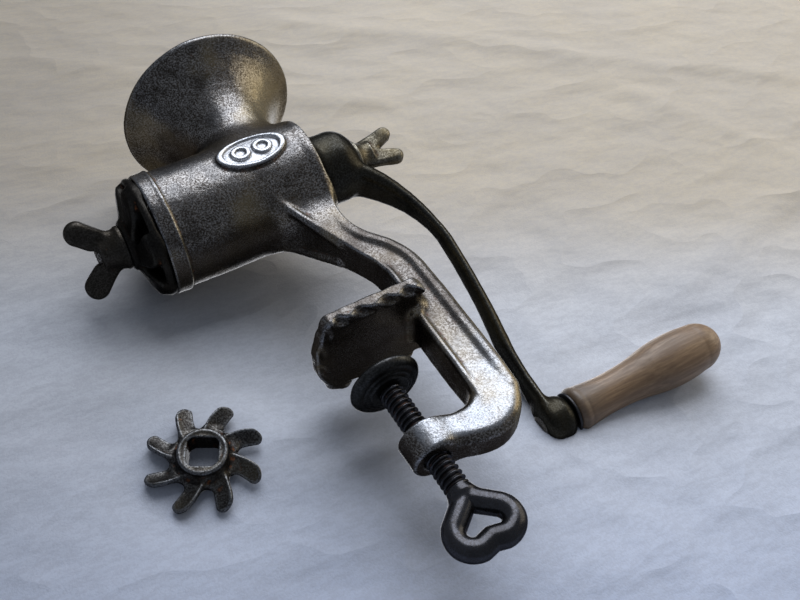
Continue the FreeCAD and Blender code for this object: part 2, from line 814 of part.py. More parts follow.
def star_blade_outline():
    """One blade of the star cutter: a broad leaf with a round tip."""
    hub = size("star_hub_radius")
    tip = size("star_radius")
    return [
        (hub - 1.8, -2.5),
        ("arc", (hub + 6.0, -4.4), (tip - 3.2, -3.6)),
        ("arc", (tip, 0.0), (tip - 3.2, 3.4)),
        ("arc", (hub + 6.0, 2.7), (hub - 1.8, 2.3)),
    ]


def make_star_cutter():
    """The spare cutter: a flat star of pitched blades round a flatted collar."""
    collar = revolved("star_collar", "XZ_Plane", [
        (0.0, -2.6),
        (size("star_hub_radius") - 1.0, -2.6),
        (size("star_hub_radius"), -1.6),
        (size("star_hub_radius"), 1.6),
        (size("star_hub_radius") - 0.8, 5.0),
        (size("star_hub_radius") - 1.8, 6.0),
        (0.0, 6.0),
    ], "Z_Axis")
    hole = drive_hole("star_drive", "-10", "20")
    turn = FreeCAD.Rotation(Z_AXIS, STAR_DRIVE_TURN)
    hole.Placement = FreeCAD.Placement(FreeCAD.Vector(), turn.multiply(FreeCAD.Rotation(Y_AXIS, 90)))
    pieces = [cut("star_ring", collar, hole)]
    for index in range(STAR_BLADES):
        blade = padded("star_blade_%d" % index, "XY_Plane", star_blade_outline(), "#star_thickness")
        pitch = FreeCAD.Rotation(X_AXIS, 24)
        turn = FreeCAD.Rotation(Z_AXIS, index * 360 / STAR_BLADES)
        blade.Placement = FreeCAD.Placement(FreeCAD.Vector(), turn.multiply(pitch))
        pieces.append(blade)
    return fuse_in_turn("star", pieces)


def check_document():
    """Stop if any object failed, or if a sub-part isn't a valid closed solid."""
    doc.recompute()
    for obj in doc.Objects:
        if "Invalid" in obj.State or "Error" in obj.State:
            raise SystemExit("failed: %s %s" % (obj.Name, obj.getStatusString()))
    for obj in sub_parts:
        shape = obj.Shape
        if shape.isNull() or not shape.isValid() or not shape.Solids:
            raise SystemExit("bad shape: " + obj.Label)
        print("%-16s solids %d  volume %.0f" % (obj.Label, len(shape.Solids), shape.Volume))


def write_parts():
    os.makedirs("parts", exist_ok=True)
    for obj in sub_parts:
        obj.Shape.exportStep("parts/%s.step" % obj.Label)


sub_parts = []
fill_sheet()
crank_turn = size("crank_angle")
finished("body_casting", make_casting())
finished("feed_screw", make_feed_screw(), on_barrel_axis(crank_turn))
finished("front_cutter", make_front_cutter(), on_barrel_axis(crank_turn))
finished("front_wing_nut", make_front_wing_nut(), on_barrel_axis(NUT_TURN))
finished("crank_arm", make_crank(), on_barrel_axis(crank_turn))
finished("thumb_screw", make_thumb_screw(), on_barrel_axis(THUMB_TURN))
grip_place = on_barrel_axis(crank_turn).multiply(
    FreeCAD.Placement(FreeCAD.Vector(0, 0, -size("crank_radius")), FreeCAD.Rotation()))
finished("grip_pin", make_grip_pin(), grip_place)
finished("grip_washer", make_grip_washer(), grip_place)
finished("wooden_grip", make_grip(), grip_place)
finished("clamp_screw", make_clamp_screw())
finished("swivel_pad", make_swivel_pad())
finished("star_cutter", make_star_cutter(), STAR_PLACE)
check_document()
write_parts()
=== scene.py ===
import itertools
import json
import math

import bpy
import numpy as np
from mathutils import Matrix, Vector

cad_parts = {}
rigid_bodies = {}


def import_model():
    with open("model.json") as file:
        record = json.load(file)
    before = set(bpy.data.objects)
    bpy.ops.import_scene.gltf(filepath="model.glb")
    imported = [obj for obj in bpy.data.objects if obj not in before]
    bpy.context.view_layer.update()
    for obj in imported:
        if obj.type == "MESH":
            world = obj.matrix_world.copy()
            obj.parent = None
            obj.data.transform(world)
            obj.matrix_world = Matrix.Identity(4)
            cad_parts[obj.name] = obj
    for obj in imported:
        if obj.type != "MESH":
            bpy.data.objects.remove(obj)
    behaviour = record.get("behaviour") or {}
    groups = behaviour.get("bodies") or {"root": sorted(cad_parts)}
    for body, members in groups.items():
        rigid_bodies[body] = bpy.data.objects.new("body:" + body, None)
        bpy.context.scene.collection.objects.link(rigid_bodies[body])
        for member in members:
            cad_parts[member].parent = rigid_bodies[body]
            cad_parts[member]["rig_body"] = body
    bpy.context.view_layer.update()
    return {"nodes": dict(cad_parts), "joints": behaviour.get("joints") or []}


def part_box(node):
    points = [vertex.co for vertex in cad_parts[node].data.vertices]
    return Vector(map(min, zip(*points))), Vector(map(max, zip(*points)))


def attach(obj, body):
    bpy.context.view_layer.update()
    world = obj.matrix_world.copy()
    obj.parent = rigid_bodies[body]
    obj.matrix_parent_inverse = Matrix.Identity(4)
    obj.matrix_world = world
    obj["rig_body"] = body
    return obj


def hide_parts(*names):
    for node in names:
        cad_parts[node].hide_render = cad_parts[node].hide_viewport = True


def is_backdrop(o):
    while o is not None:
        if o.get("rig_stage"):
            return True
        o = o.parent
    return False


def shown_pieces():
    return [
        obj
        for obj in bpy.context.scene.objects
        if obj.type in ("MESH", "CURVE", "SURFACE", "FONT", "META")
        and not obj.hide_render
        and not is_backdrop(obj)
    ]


# A hand-cranked food chopper. Each iron piece is shaped as a distance field, in millimetres, and
# meshed with a fine regular grid, so that its joints blend as a casting's do. Places come from
# the frame: the crank's axis, the grip's axis and the boxes of the CAD nodes.

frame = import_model()

MM = 0.001
TAU = 2 * math.pi


def corners(node):
    """The node's box in millimetres, as two arrays."""
    low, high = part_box(node)
    return np.array(low) / MM, np.array(high) / MM


JOINTS = {joint["name"]: joint for joint in frame["joints"]}
AXIS = JOINTS["crank_turn"]["pos_m"][2] / MM
GRIP_Y = JOINTS["grip_spin"]["pos_m"][1] / MM
GRIP_Z = JOINTS["grip_spin"]["pos_m"][2] / MM
CRANK_RADIUS = math.hypot(GRIP_Y, AXIS - GRIP_Z)
CRANK_TURN = math.atan2(GRIP_Y, AXIS - GRIP_Z)
NUT_TURN = math.radians(61)
THUMB_TURN = math.radians(14)

CAST_LOW, CAST_HIGH = corners("body_casting")
FRONT = CAST_LOW[0]
ARM_BOTTOM = CAST_LOW[2]
HOPPER_TOP = CAST_HIGH[2]
HOPPER_RADIUS = (CAST_HIGH[1] - CAST_LOW[1]) / 2
HOPPER_X = CAST_HIGH[0] - HOPPER_RADIUS
REAR = 24.7
REAR_WALL = 6.0
BARREL_RADIUS = 23.8
FLANGE_RADIUS = 25.4
BORE_RADIUS = 20.0
BORE_RIBS = 6
JOURNAL_RADIUS = 6.5
NECK_RADIUS = 18.0
FLARE_START = 111.5
HOPPER_WALL = 2.8
BADGE_X = 1.6
BADGE_HALF = (14.5, 8.5)
LEG_HALF = 8.0
LEG_INSIDE = 21.6
LEG_OUTSIDE = 37.8
JAW_THICKNESS = 5.0
ARM_TOP = -41.3
BOSS_TOP = -40.6
BOSS_BOTTOM = -52.2
BOSS_RADIUS = 8.7
PAD_ROOM_RADIUS = 13.8
SCREW_RADIUS = 4.5
SCREW_PITCH = 2.1


# ---------------------------------------------------------------- distance fields

def smooth_min(first, second, blend):
    """The union of two fields, with a fillet of about the blend's size."""
    overlap = np.maximum(blend - np.abs(first - second), 0.0)
    return np.minimum(first, second) - overlap * overlap / (4.0 * blend)


def smooth_max(first, second, blend):
    """What two fields share, with the edge eased."""
    return -smooth_min(-first, -second, blend)


def rounded_join(first, second, radius):
    """What two fields share, with the edge rounded to a radius."""
    outside = np.hypot(np.maximum(first + radius, 0.0), np.maximum(second + radius, 0.0))
    return np.minimum(np.maximum(first, second) + radius, 0.0) + outside - radius


def ramp(value):
    """A smooth step from 0 to 1 as the value goes from 0 to 1."""
    value = np.clip(value, 0.0, 1.0)
    return value * value * (3.0 - 2.0 * value)


def waves(x, y, z, size):
    """A gentle, repeatable unevenness between about -1 and 1."""
    a = x / size
    b = y / size
    c = z / size
    first = np.sin(1.9 * a + 1.3 * np.sin(1.1 * b + 0.4) + 0.7)
    second = np.sin(2.3 * b + 1.7 * np.sin(0.9 * c + 1.1) + 2.1)
    third = np.sin(2.1 * c + 1.5 * np.sin(1.3 * a + 2.3) + 0.2)
    return (first + second + third) / 3.0


def arc_points(start, middle, end, steps=10):
    """Points on the arc through three points, without its start."""
    (ax, ay), (bx, by), (cx, cy) = start, middle, end
    twice = 2 * (ax * (by - cy) + bx * (cy - ay) + cx * (ay - by))
    a2, b2, c2 = ax * ax + ay * ay, bx * bx + by * by, cx * cx + cy * cy
    ux = (a2 * (by - cy) + b2 * (cy - ay) + c2 * (ay - by)) / twice
    uy = (a2 * (cx - bx) + b2 * (ax - cx) + c2 * (bx - ax)) / twice
    radius = math.hypot(ax - ux, ay - uy)
    first, half, last = (math.atan2(p[1] - uy, p[0] - ux) for p in (start, middle, end))
    span = (last - first) % TAU
    if (half - first) % TAU > span:
        span -= TAU
    turns = [first + span * step / steps for step in range(1, steps + 1)]
    return [(ux + radius * math.cos(turn), uy + radius * math.sin(turn)) for turn in turns]


def traced(items, steps=10):
    """An outline's points; ("arc", middle, end) stands for an arc to its end."""
    points = [items[0]]
    for item in items[1:]:
        if item[0] == "arc":
            points.extend(arc_points(points[-1], item[1], item[2], steps))
        else:
            points.append(item)
    return points


def outline_distance(points, u, v):
    """Signed distance to a closed outline in a plane, negative inside."""
    nearest = None
    inside = False
    for (x0, y0), (x1, y1) in zip(points, points[1:] + points[:1]):
        ex, ey = x1 - x0, y1 - y0
        length2 = ex * ex + ey * ey
        if length2 < 1e-12:
            continue
        wx, wy = u - x0, v - y0
        along = np.clip((wx * ex + wy * ey) / length2, 0.0, 1.0)
        square = (wx - ex * along) ** 2 + (wy - ey * along) ** 2
        nearest = square if nearest is None else np.minimum(nearest, square)
        if ey:
            inside = inside ^ (((y0 <= v) != (y1 <= v)) & (wx < wy * ex / ey))
    return np.where(inside, -1.0, 1.0) * np.sqrt(nearest)


def curve_distance(points, u, v):
    """Distance to an open line of points in a plane."""
    nearest = None
    for (x0, y0), (x1, y1) in zip(points, points[1:]):
        ex, ey = x1 - x0, y1 - y0
        along = np.clip(((u - x0) * ex + (v - y0) * ey) / (ex * ex + ey * ey), 0.0, 1.0)
        square = (u - x0 - ex * along) ** 2 + (v - y0 - ey * along) ** 2
        nearest = square if nearest is None else np.minimum(nearest, square)
    return np.sqrt(nearest)


def rod_distance(start, end, start_radius, end_radius, x, y, z):
    """Distance to a straight round bar whose radius changes evenly."""
    sx, sy, sz = start
    ex, ey, ez = end[0] - sx, end[1] - sy, end[2] - sz
    length2 = ex * ex + ey * ey + ez * ez
    along = np.clip(((x - sx) * ex + (y - sy) * ey + (z - sz) * ez) / length2, 0.0, 1.0)
    gap = np.sqrt((x - sx - ex * along) ** 2 + (y - sy - ey * along) ** 2 + (z - sz - ez * along) ** 2)
    return gap - start_radius - (end_radius - start_radius) * along


# ---------------------------------------------------------------- meshing

BLOCK = 16


def field_values(field, axes, cell):
    """The field on a grid. Blocks far from the surface only get their middle's value."""
    shape = [len(axis) for axis in axes]
    values = np.empty(shape, np.float32)
    starts = [range(0, count, BLOCK) for count in shape]
    middles = [np.array([axis[s:s + BLOCK].mean() for s in start]) for axis, start in zip(axes, starts)]
    coarse = field(middles[0][:, None, None], middles[1][None, :, None], middles[2][None, None, :])
    coarse = np.broadcast_to(coarse, [len(m) for m in middles])
    reach = 1.35 * BLOCK * cell
    for i, j, k in itertools.product(*[range(len(start)) for start in starts]):
        parts = [slice(start[n], start[n] + BLOCK) for start, n in zip(starts, (i, j, k))]
        if abs(coarse[i, j, k]) > reach:
            values[tuple(parts)] = coarse[i, j, k]
            continue
        x, y, z = (axis[part] for axis, part in zip(axes, parts))
        values[tuple(parts)] = field(x[:, None, None], y[None, :, None], z[None, None, :])
    return values


def crossed_cells(inside):
    """The grid cells that the surface crosses, and each one's number, or -1."""
    sizes = [count - 1 for count in inside.shape]
    total = np.zeros(sizes, np.uint8)
    for a, b, c in itertools.product((0, 1), repeat=3):
        total += inside[a:a + sizes[0], b:b + sizes[1], c:c + sizes[2]]
    mixed = (total > 0) & (total < 8)
    cells = np.argwhere(mixed)
    number = np.full(sizes, -1, np.int32)
    number[mixed] = np.arange(len(cells))
    return cells, number


def cell_points(values, cells):
    """One point in each crossed cell: the middle of where the surface cuts its edges."""
    place = np.zeros((len(cells), 3))
    hits = np.zeros((len(cells), 1))
    for axis in range(3):
        others = [n for n in range(3) if n != axis]
        for first, second in itertools.product((0, 1), repeat=2):
            low = np.zeros(3, int)
            low[others[0]] = first
            low[others[1]] = second
            high = low.copy()
            high[axis] = 1
            one = values[tuple((cells + low).T)]
            two = values[tuple((cells + high).T)]
            crossing = (one < 0) != (two < 0)
            step = np.where(crossing, one / np.where(crossing, one - two, 1.0), 0.0)
            point = np.tile(low.astype(float), (len(cells), 1))
            point[:, axis] = step
            place += point * crossing[:, None]
            hits += crossing[:, None]
    return cells + place / hits


def cell_quads(inside, number):
    """A quad across each grid edge that the surface cuts, facing outward."""
    shape = inside.shape
    quads = []
    for axis in range(3):
        u, v = (axis + 1) % 3, (axis + 2) % 3
        low = [slice(0, count) for count in shape]
        high = list(low)
        low[axis] = slice(0, shape[axis] - 1)
        high[axis] = slice(1, shape[axis])
        one, two = inside[tuple(low)], inside[tuple(high)]
        edges = np.argwhere(one != two)
        keep = (edges[:, u] > 0) & (edges[:, v] > 0)
        keep &= (edges[:, u] < shape[u] - 1) & (edges[:, v] < shape[v] - 1)
        edges = edges[keep]
        outward = one[tuple(edges.T)]
        around = []
        for du, dv in ((-1, -1), (0, -1), (0, 0), (-1, 0)):
            neighbour = edges.copy()
            neighbour[:, u] += du
            neighbour[:, v] += dv
            around.append(number[tuple(neighbour.T)])
        ring = np.stack(around, 1)
        quads.append(np.where(outward[:, None], ring, ring[:, ::-1]))
    return np.concatenate(quads)


def surface_net(values, axes, cell):
    """Vertices and quads of the surface where the values change sign."""
    inside = values < 0
    cells, number = crossed_cells(inside)
    origin = np.array([axis[0] for axis in axes])
    return origin + cell_points(values, cells) * cell, cell_quads(inside, number)


def slopes(field, points, step):
    """The field's gradient at points, and how sharply the surface bulges there."""
    x, y, z = points.T
    here = field(x, y, z)
    gradient = np.empty_like(points)
    total = np.zeros(len(points))
    for axis, (dx, dy, dz) in enumerate(((step, 0, 0), (0, step, 0), (0, 0, step))):
        ahead = field(x + dx, y + dy, z + dz)
        behind = field(x - dx, y - dy, z - dz)
        gradient[:, axis] = (ahead - behind) / (2 * step)
        total += ahead + behind
    return here, gradient, (total - 6 * here) / (step * step)


WEAR_REACH = 1.1
COARSER = 1.0


def worn_mesh(name, points, quads, bulge):
    """A smooth-shaded mesh that stores how far each point bulges, for its material."""
    mesh = bpy.data.meshes.new(name)
    mesh.vertices.add(len(points))
    mesh.loops.add(quads.size)
    mesh.polygons.add(len(quads))
    mesh.vertices.foreach_set("co", (points * MM).astype(np.float32).ravel())
    mesh.loops.foreach_set("vertex_index", quads.astype(np.int32).ravel())
    mesh.polygons.foreach_set("loop_start", np.arange(0, quads.size, 4, dtype=np.int32))
    mesh.update(calc_edges=True)
    mesh.validate()
    mesh.polygons.foreach_set("use_smooth", np.ones(len(mesh.polygons), bool))
    wear = mesh.attributes.new("wear", "FLOAT", "POINT")
    wear.data.foreach_set("value", np.clip(bulge, -2.0, 2.0).astype(np.float32))
    return mesh


def cast(node, field, low, high, cell, place=None):
    """Mesh a field inside a box, put it in its place and let it stand for its CAD node."""
    cell = cell * COARSER
    counts = [int(math.ceil((h - l) / cell / BLOCK)) * BLOCK + 1 for l, h in zip(low, high)]
    axes = [l + cell * np.arange(count) for l, count in zip(low, counts)]
    points, quads = surface_net(field_values(field, axes, cell), axes, cell)
    for _ in range(2):
        here, gradient, _bulge = slopes(field, points, 0.1 * cell)
        length2 = np.maximum((gradient ** 2).sum(1), 0.2)
        move = np.clip(here / length2, -0.5 * cell, 0.5 * cell)
        points -= gradient * move[:, None]
    bulge = slopes(field, points, WEAR_REACH)[2]
    mesh = worn_mesh(node + "_skin", points, quads, bulge)
    piece = bpy.data.objects.new(node + "_skin", mesh)
    bpy.context.scene.collection.objects.link(piece)
    if place is not None:
        mesh.transform(place)
    body = frame["nodes"][node]["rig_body"]
    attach(piece, body)
    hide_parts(node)
    return piece


def on_barrel_axis(turn):
    """From a piece's own frame, with its axis on X, to the barrel's axis."""
    return Matrix.Translation((0, 0, AXIS * MM)) @ Matrix.Rotation(turn, 4, "X")


# ---------------------------------------------------------------- the body casting

BARREL_SKIN = [
    (FRONT + 1.0, -1.0), (FRONT + 1.0, FLANGE_RADIUS - 2.0), (FRONT + 4.6, FLANGE_RADIUS - 1.9),
    (FRONT + 5.6, FLANGE_RADIUS - 1.7), (FRONT + 6.4, BARREL_RADIUS - 1.0),
    (REAR - 5.0, BARREL_RADIUS - 1.0), (REAR - 2.2, BARREL_RADIUS - 0.6), (REAR - 1.0, BARREL_RADIUS - 0.9),
    (REAR - 1.0, -1.0),
]
LEG_OUTLINE = traced([
    (0.0, 70.0),
    (3.0, 67.0),
    ("arc", (12.4, 49.5), (20.0, 33.0)),
    ("arc", (22.8, 25.0), (23.0, 12.0)),
    (LEG_INSIDE, 4.0),
    (LEG_INSIDE, ARM_TOP + 6.5),
    ("arc", (LEG_INSIDE - 1.9, ARM_TOP + 1.9), (LEG_INSIDE - 6.5, ARM_TOP)),
    (0.0, ARM_TOP),
    (0.0, BOSS_BOTTOM + 1.0),
    (6.0, BOSS_BOTTOM + 0.4),
    ("arc", (14.0, ARM_BOTTOM + 1.0), (LEG_OUTSIDE - 17.0, ARM_BOTTOM)),
    ("arc", (LEG_OUTSIDE - 5.0, ARM_BOTTOM + 5.0), (LEG_OUTSIDE, ARM_BOTTOM + 17.0)),
    (LEG_OUTSIDE, 17.0),
    ("arc", (LEG_OUTSIDE - 1.4, 27.0), (32.6, 36.0)),
    (27.2, 42.5),
    ("arc", (23.6, 49.0), (22.4, 60.0)),
    (22.4, 70.0),
])
# The middle lines of the beads along the leg's outer and inner edges.
OUTER_BEAD = traced([
    (19.6, 68.0),
    (19.9, 60.0),
    ("arc", (21.1, 48.4), (25.1, 40.8)),
    (30.4, 34.3),
    ("arc", (34.0, 26.0), (35.0, 17.0)),
    (35.0, -42.0),
])
INNER_BEAD = traced([
    (19.0, 40.0),
    ("arc", (23.4, 27.0), (24.2, 12.0)),
    (23.0, 3.0),
    (23.0, -42.0),
])
# The inner bead runs on up the barrel's side as a narrow ridge: its two ends, on the -Y side.
RIDGE = ((1.6, 12.9, 70.6), (15.5, 5.4, 45.0))
OUTER_BEAD_RADIUS = 2.7
INNER_BEAD_RADIUS = 1.35
JAW_OUTLINE = traced([
    (27.0, -15.0),
    (27.0, 15.0),
    ("arc", (25.4, 18.7), (22.0, 20.25)),
    (-9.0, 20.25),
    ("arc", (-12.4, 18.6), (-13.5, 15.0)),
    ("arc", (-17.0, 0.0), (-13.5, -15.0)),
    ("arc", (-12.4, -18.6), (-9.0, -20.25)),
    (22.0, -20.25),
    ("arc", (25.4, -18.7), (27.0, -15.0)),
])
JAW_LUMP = 8.8
FLARE_RISE = HOPPER_TOP - FLARE_START
FLARE_SPREAD = HOPPER_RADIUS - NECK_RADIUS
FLARE_RADIUS = (FLARE_SPREAD ** 2 + FLARE_RISE ** 2) / (2 * FLARE_SPREAD)
RIM_TURN = math.atan2(FLARE_RISE, FLARE_RADIUS - FLARE_SPREAD)


def hopper_curve():
    """The middle line of the hopper's wall: distance from its centre line, and height."""
    radius = FLARE_RADIUS + HOPPER_WALL / 2
    centre = NECK_RADIUS + FLARE_RADIUS
    last = RIM_TURN - HOPPER_WALL / 2 / radius
    turns = [last * step / 14 for step in range(15)]
    flare = [(centre - radius * math.cos(t), FLARE_START + radius * math.sin(t)) for t in turns]
    return [(NECK_RADIUS - HOPPER_WALL / 2, AXIS + 8)] + flare


HOPPER_CURVE = hopper_curve()


def hopper_field(x, y, z):
    out = np.hypot(x - HOPPER_X, y)
    rim = 0.5 * ramp((z - HOPPER_TOP + 5.0) / 4.0)
    return curve_distance(HOPPER_CURVE, out, z) - HOPPER_WALL / 2 - rim


BADGE_RINGS = (-4.5, 4.5)


def badge_field(x, y, z, radial):
    """A plain oval badge on the barrel's side: a rim, a low field and two plain round rings."""
    u, v = x - BADGE_X, z - AXIS
    scale = BADGE_HALF[1]
    oval = (np.hypot(u / BADGE_HALF[0], v / BADGE_HALF[1]) - 1.0) * scale
    side = y + 4.0
    rim = rounded_join(np.maximum(np.abs(oval + 1.0) - 0.9, side), radial - BARREL_RADIUS - 1.7, 0.8)
    plate = rounded_join(np.maximum(oval, side), radial - BARREL_RADIUS - 0.3, 0.3)
    badge = np.minimum(rim, plate)
    for centre in BADGE_RINGS:
        ring = np.abs(np.hypot(u - centre, v) - 3.0) - 1.0
        ring = rounded_join(np.maximum(ring, side), radial - BARREL_RADIUS - 1.5, 0.6)
        badge = np.minimum(badge, ring)
    return badge


def bead_field(line, radius, height, x, y, z):
    """A half-round bead along a line on both of the leg's faces."""
    off = curve_distance(line, x, z)
    return np.hypot(off, np.maximum(np.abs(y) - height + radius, 0.0)) - radius


def leg_field(x, y, z):
    """The leg and lower arm: a flat web with a fat outer bead and a thin inner one."""
    plan = outline_distance(LEG_OUTLINE, x, z)
    foot = ramp((-25.0 - z) / 20.0)
    half = LEG_HALF - 0.9 + 3.6 * ramp((z - 34.0) / 36.0) - 0.2 * foot
    web = rounded_join(plan, np.abs(y) - half, 1.0 + 3.0 * foot)
    outer_height = LEG_HALF + 0.2 - 1.6 * foot + 1.2 * ramp((z - 40.0) / 24.0)
    outer = bead_field(OUTER_BEAD, OUTER_BEAD_RADIUS, outer_height, x, y, z)
    inner_height = LEG_HALF + 0.1 - 1.6 * foot - 2.0 * ramp((z - 20.0) / 12.0)
    inner = bead_field(INNER_BEAD, INNER_BEAD_RADIUS, inner_height, x, y, z)
    return smooth_min(smooth_min(web, outer, 1.2), inner, 1.0)


def jaw_field(x, y, z):
    """The upper jaw's plate, with a scalloped lip round its open edges."""
    plan = outline_distance(JAW_OUTLINE, x, y) + 0.0 * z
    lump = 0.5 + 0.5 * np.cos(TAU * (x - 0.8 * y + 0.7 * np.sin(0.23 * (x + y))) / JAW_LUMP)
    lip = ramp(1.0 - np.maximum(-plan - 0.8, 0.0) / 4.2)
    low = (1.0 + 0.9 * ramp((x + 13.0) / 6.0)) * lump * lip
    middle = (JAW_THICKNESS + 0.4 + low) / 2
    slab = np.abs(z - middle) - (JAW_THICKNESS + 0.4 - low) / 2
    return rounded_join(plan + 0.3 * lump * lip, slab, 1.3)


def boss_field(x, y, z):
    out = np.hypot(x, y)
    middle = (BOSS_TOP + BOSS_BOTTOM) / 2
    half = (BOSS_TOP - BOSS_BOTTOM) / 2
    return rounded_join(out - BOSS_RADIUS, np.abs(z - middle) - half, 1.3)


def bore_rib_field(x, y, z, radial):
    """Straight ribs inside the front half of the bore."""
    turn = np.arctan2(z - AXIS, y)
    step = TAU / BORE_RIBS
    offset = (turn / step - np.round(turn / step)) * step
    side = np.abs(radial * np.sin(offset)) - 1.5
    ends = np.abs(x - FRONT - 16.0) - 13.5
    return rounded_join(np.maximum(side, ends), np.abs(radial - 19.9) - 1.1, 0.4)


def holes_field(x, y, z, radial):
    """Bore, shaft hole, hopper's neck, screw hole, and room for the pad when it is wound down."""
    bore = np.maximum(radial - BORE_RADIUS, x - REAR + REAR_WALL)
    shaft = np.maximum(radial - JOURNAL_RADIUS - 0.05, -x)
    neck = np.maximum(np.hypot(x - HOPPER_X, y) - NECK_RADIUS + HOPPER_WALL, AXIS - z)
    neck = np.maximum(neck, z - FLARE_START - 3.0)
    out = np.hypot(x, y)
    room = np.maximum(out - PAD_ROOM_RADIUS, BOSS_TOP - 0.1 - z)
    screw = np.maximum(np.minimum(out - SCREW_RADIUS - 0.05, room), z + 30.0)
    return np.minimum(np.minimum(bore, neck), np.minimum(shaft, screw))


def casting_field(x, y, z):
    """Barrel, hopper, badge, leg, jaw, lower arm and boss in one piece, then its holes."""
    radial = np.hypot(y, z - AXIS)
    skin = outline_distance(BARREL_SKIN, x, radial) - 1.0
    solid = smooth_min(skin, hopper_field(x, y, z), 9.0)
    jaw = smooth_min(leg_field(x, y, z), jaw_field(x, y, z), 4.0)
    arm = smooth_min(jaw, boss_field(x, y, z), 5.0)
    solid = smooth_min(solid, arm, 8.0)
    ridge = rod_distance(RIDGE[0], RIDGE[1], 1.1, 2.0, x, np.abs(y), z)
    solid = smooth_min(solid, ridge, 1.8)
    solid = smooth_min(solid, badge_field(x, y, z, radial), 0.7)
    solid = solid - 0.14 * waves(z, x, y, 17.0) - 0.10 * waves(x, y, z, 7.0)
    solid = solid - 0.05 * waves(y, z, x, 2.3)
    solid = smooth_max(solid, -holes_field(x, y, z, radial), 1.2)
    return smooth_min(solid, bore_rib_field(x, y, z, radial), 0.8)


def make_casting():
    low = (FRONT - 2.0, -HOPPER_RADIUS - 3.0, ARM_BOTTOM - 2.0)
    high = (CAST_HIGH[0] + 3.0, HOPPER_RADIUS + 3.0, HOPPER_TOP + 3.0)
    return cast("body_casting", casting_field, low, high, 0.5)


# ---------------------------------------------------------------- crank, grip and their screws

HUB_FRONT = 25.3
HUB_REAR = 45.0
HUB_RADIUS = 15.0
HUB_SKIN = traced([
    (HUB_FRONT + 1.5, -1.0), (HUB_FRONT + 1.5, HUB_RADIUS - 4.0),
    ("arc", (HUB_FRONT + 2.6, HUB_RADIUS - 2.2), (HUB_FRONT + 5.0, HUB_RADIUS - 1.5)),
    (HUB_FRONT + 11.0, HUB_RADIUS - 1.5),
    ("arc", (HUB_REAR - 3.4, HUB_RADIUS - 3.8), (HUB_REAR - 1.5, HUB_RADIUS - 7.2)),
    (HUB_REAR - 1.5, -1.0),
])
CRANK_SIDE = traced([
    (33.0, 4.0), (33.0, -8.0),
    ("arc", (50.6, -24.0), (60.0, -47.0)),
    ("arc", (60.1, -68.0), (57.4, -98.0)),
    (58.6, -CRANK_RADIUS + 4.0), (63.0, -CRANK_RADIUS + 4.0), (63.0, -104.0),
    ("arc", (65.2, -74.0), (65.3, -50.0)),
    ("arc", (58.4, -24.8), (43.8, -5.0)),
    (43.8, 4.0),
], 8)
CRANK_END = (56.4, 69.3)
CRANK_END_RADIUS = 9.2
SQUARE_HALF = 4.5


def crank_half_width(z):
    """Half the arm's width across: wide at the hub, slim and widening a little at its end."""
    root = 5.6 * ramp((z + 42.0) / 42.0)
    foot = 3.0 * ramp((-z - 110.0) / 24.0)
    return 4.9 + root + foot


def crank_field(x, y, z):
    """The crank arm in its own frame: its hub on the X axis and its arm down along Z."""
    radial = np.hypot(y, z)
    hub = outline_distance(HUB_SKIN, x, radial) - 1.5
    side = outline_distance(CRANK_SIDE, x, z)
    arm = rounded_join(side, np.abs(y) - crank_half_width(z), 4.2)
    end_radial = np.hypot(y, z + CRANK_RADIUS)
    middle = (CRANK_END[0] + CRANK_END[1]) / 2
    half = (CRANK_END[1] - CRANK_END[0]) / 2
    end = rounded_join(end_radial - CRANK_END_RADIUS, np.abs(x - middle) - half, 4.6)
    solid = smooth_min(smooth_min(hub, arm, 2.6), end, 3.0)
    solid = solid - 0.10 * waves(x, y, z, 6.0) - 0.04 * waves(z, x, y, 2.1)
    square = np.maximum(np.abs(y), np.abs(z)) - SQUARE_HALF - 0.05
    pin = np.maximum(end_radial - 3.2, 50.0 - x)
    return smooth_max(solid, -np.minimum(square, pin), 0.5)


def make_crank():
    low = (HUB_FRONT - 2.0, -17.5, -CRANK_RADIUS - 12.0)
    high = (71.5, 17.5, 17.5)
    return cast("crank_arm", crank_field, low, high, 0.42, on_barrel_axis(CRANK_TURN))


def grip_skin():
    """Half section of the turned grip: distance along X, and radius."""
    low, high = corners("wooden_grip")
    start, end = low[0], high[0]
    radius = (high[1] - low[1]) / 2
    return traced([
        (start + 0.7, 2.5), (start + 0.7, radius - 3.6),
        ("arc", (start + 1.4, radius - 2.8), (start + 3.4, radius - 2.6)),
        ("arc", (start + 19.0, radius - 3.8), (start + 36.0, radius - 2.3)),
        ("arc", (start + 51.0, radius - 0.75), (start + 62.0, radius - 1.6)),
        ("arc", (end - 4.0, radius - 4.6), (end - 0.9, 1.4)),
        (end - 0.7, -1.0), (end - 11.6, -1.0), (end - 11.6, 2.5),
    ], 14)


GRIP_SKIN = grip_skin()


def grip_field(x, y, z):
    """The wooden grip in its own frame, with its axis on X."""
    radial = np.hypot(y, z)
    solid = outline_distance(GRIP_SKIN, x, radial) - 0.7
    groove = 0.12 * np.exp(-((x - GRIP_SKIN[0][0] - 4.0) / 0.6) ** 2)
    return solid + groove + 0.03 * waves(x, y, z, 5.0)


def make_grip():
    low, high = corners("wooden_grip")
    box_low = (low[0] - 1.5, -12.5, -12.5)
    box_high = (high[0] + 1.5, 12.5, 12.5)
    place = Matrix.Translation((0, GRIP_Y * MM, GRIP_Z * MM))
    return cast("wooden_grip", grip_field, box_low, box_high, 0.42, place)


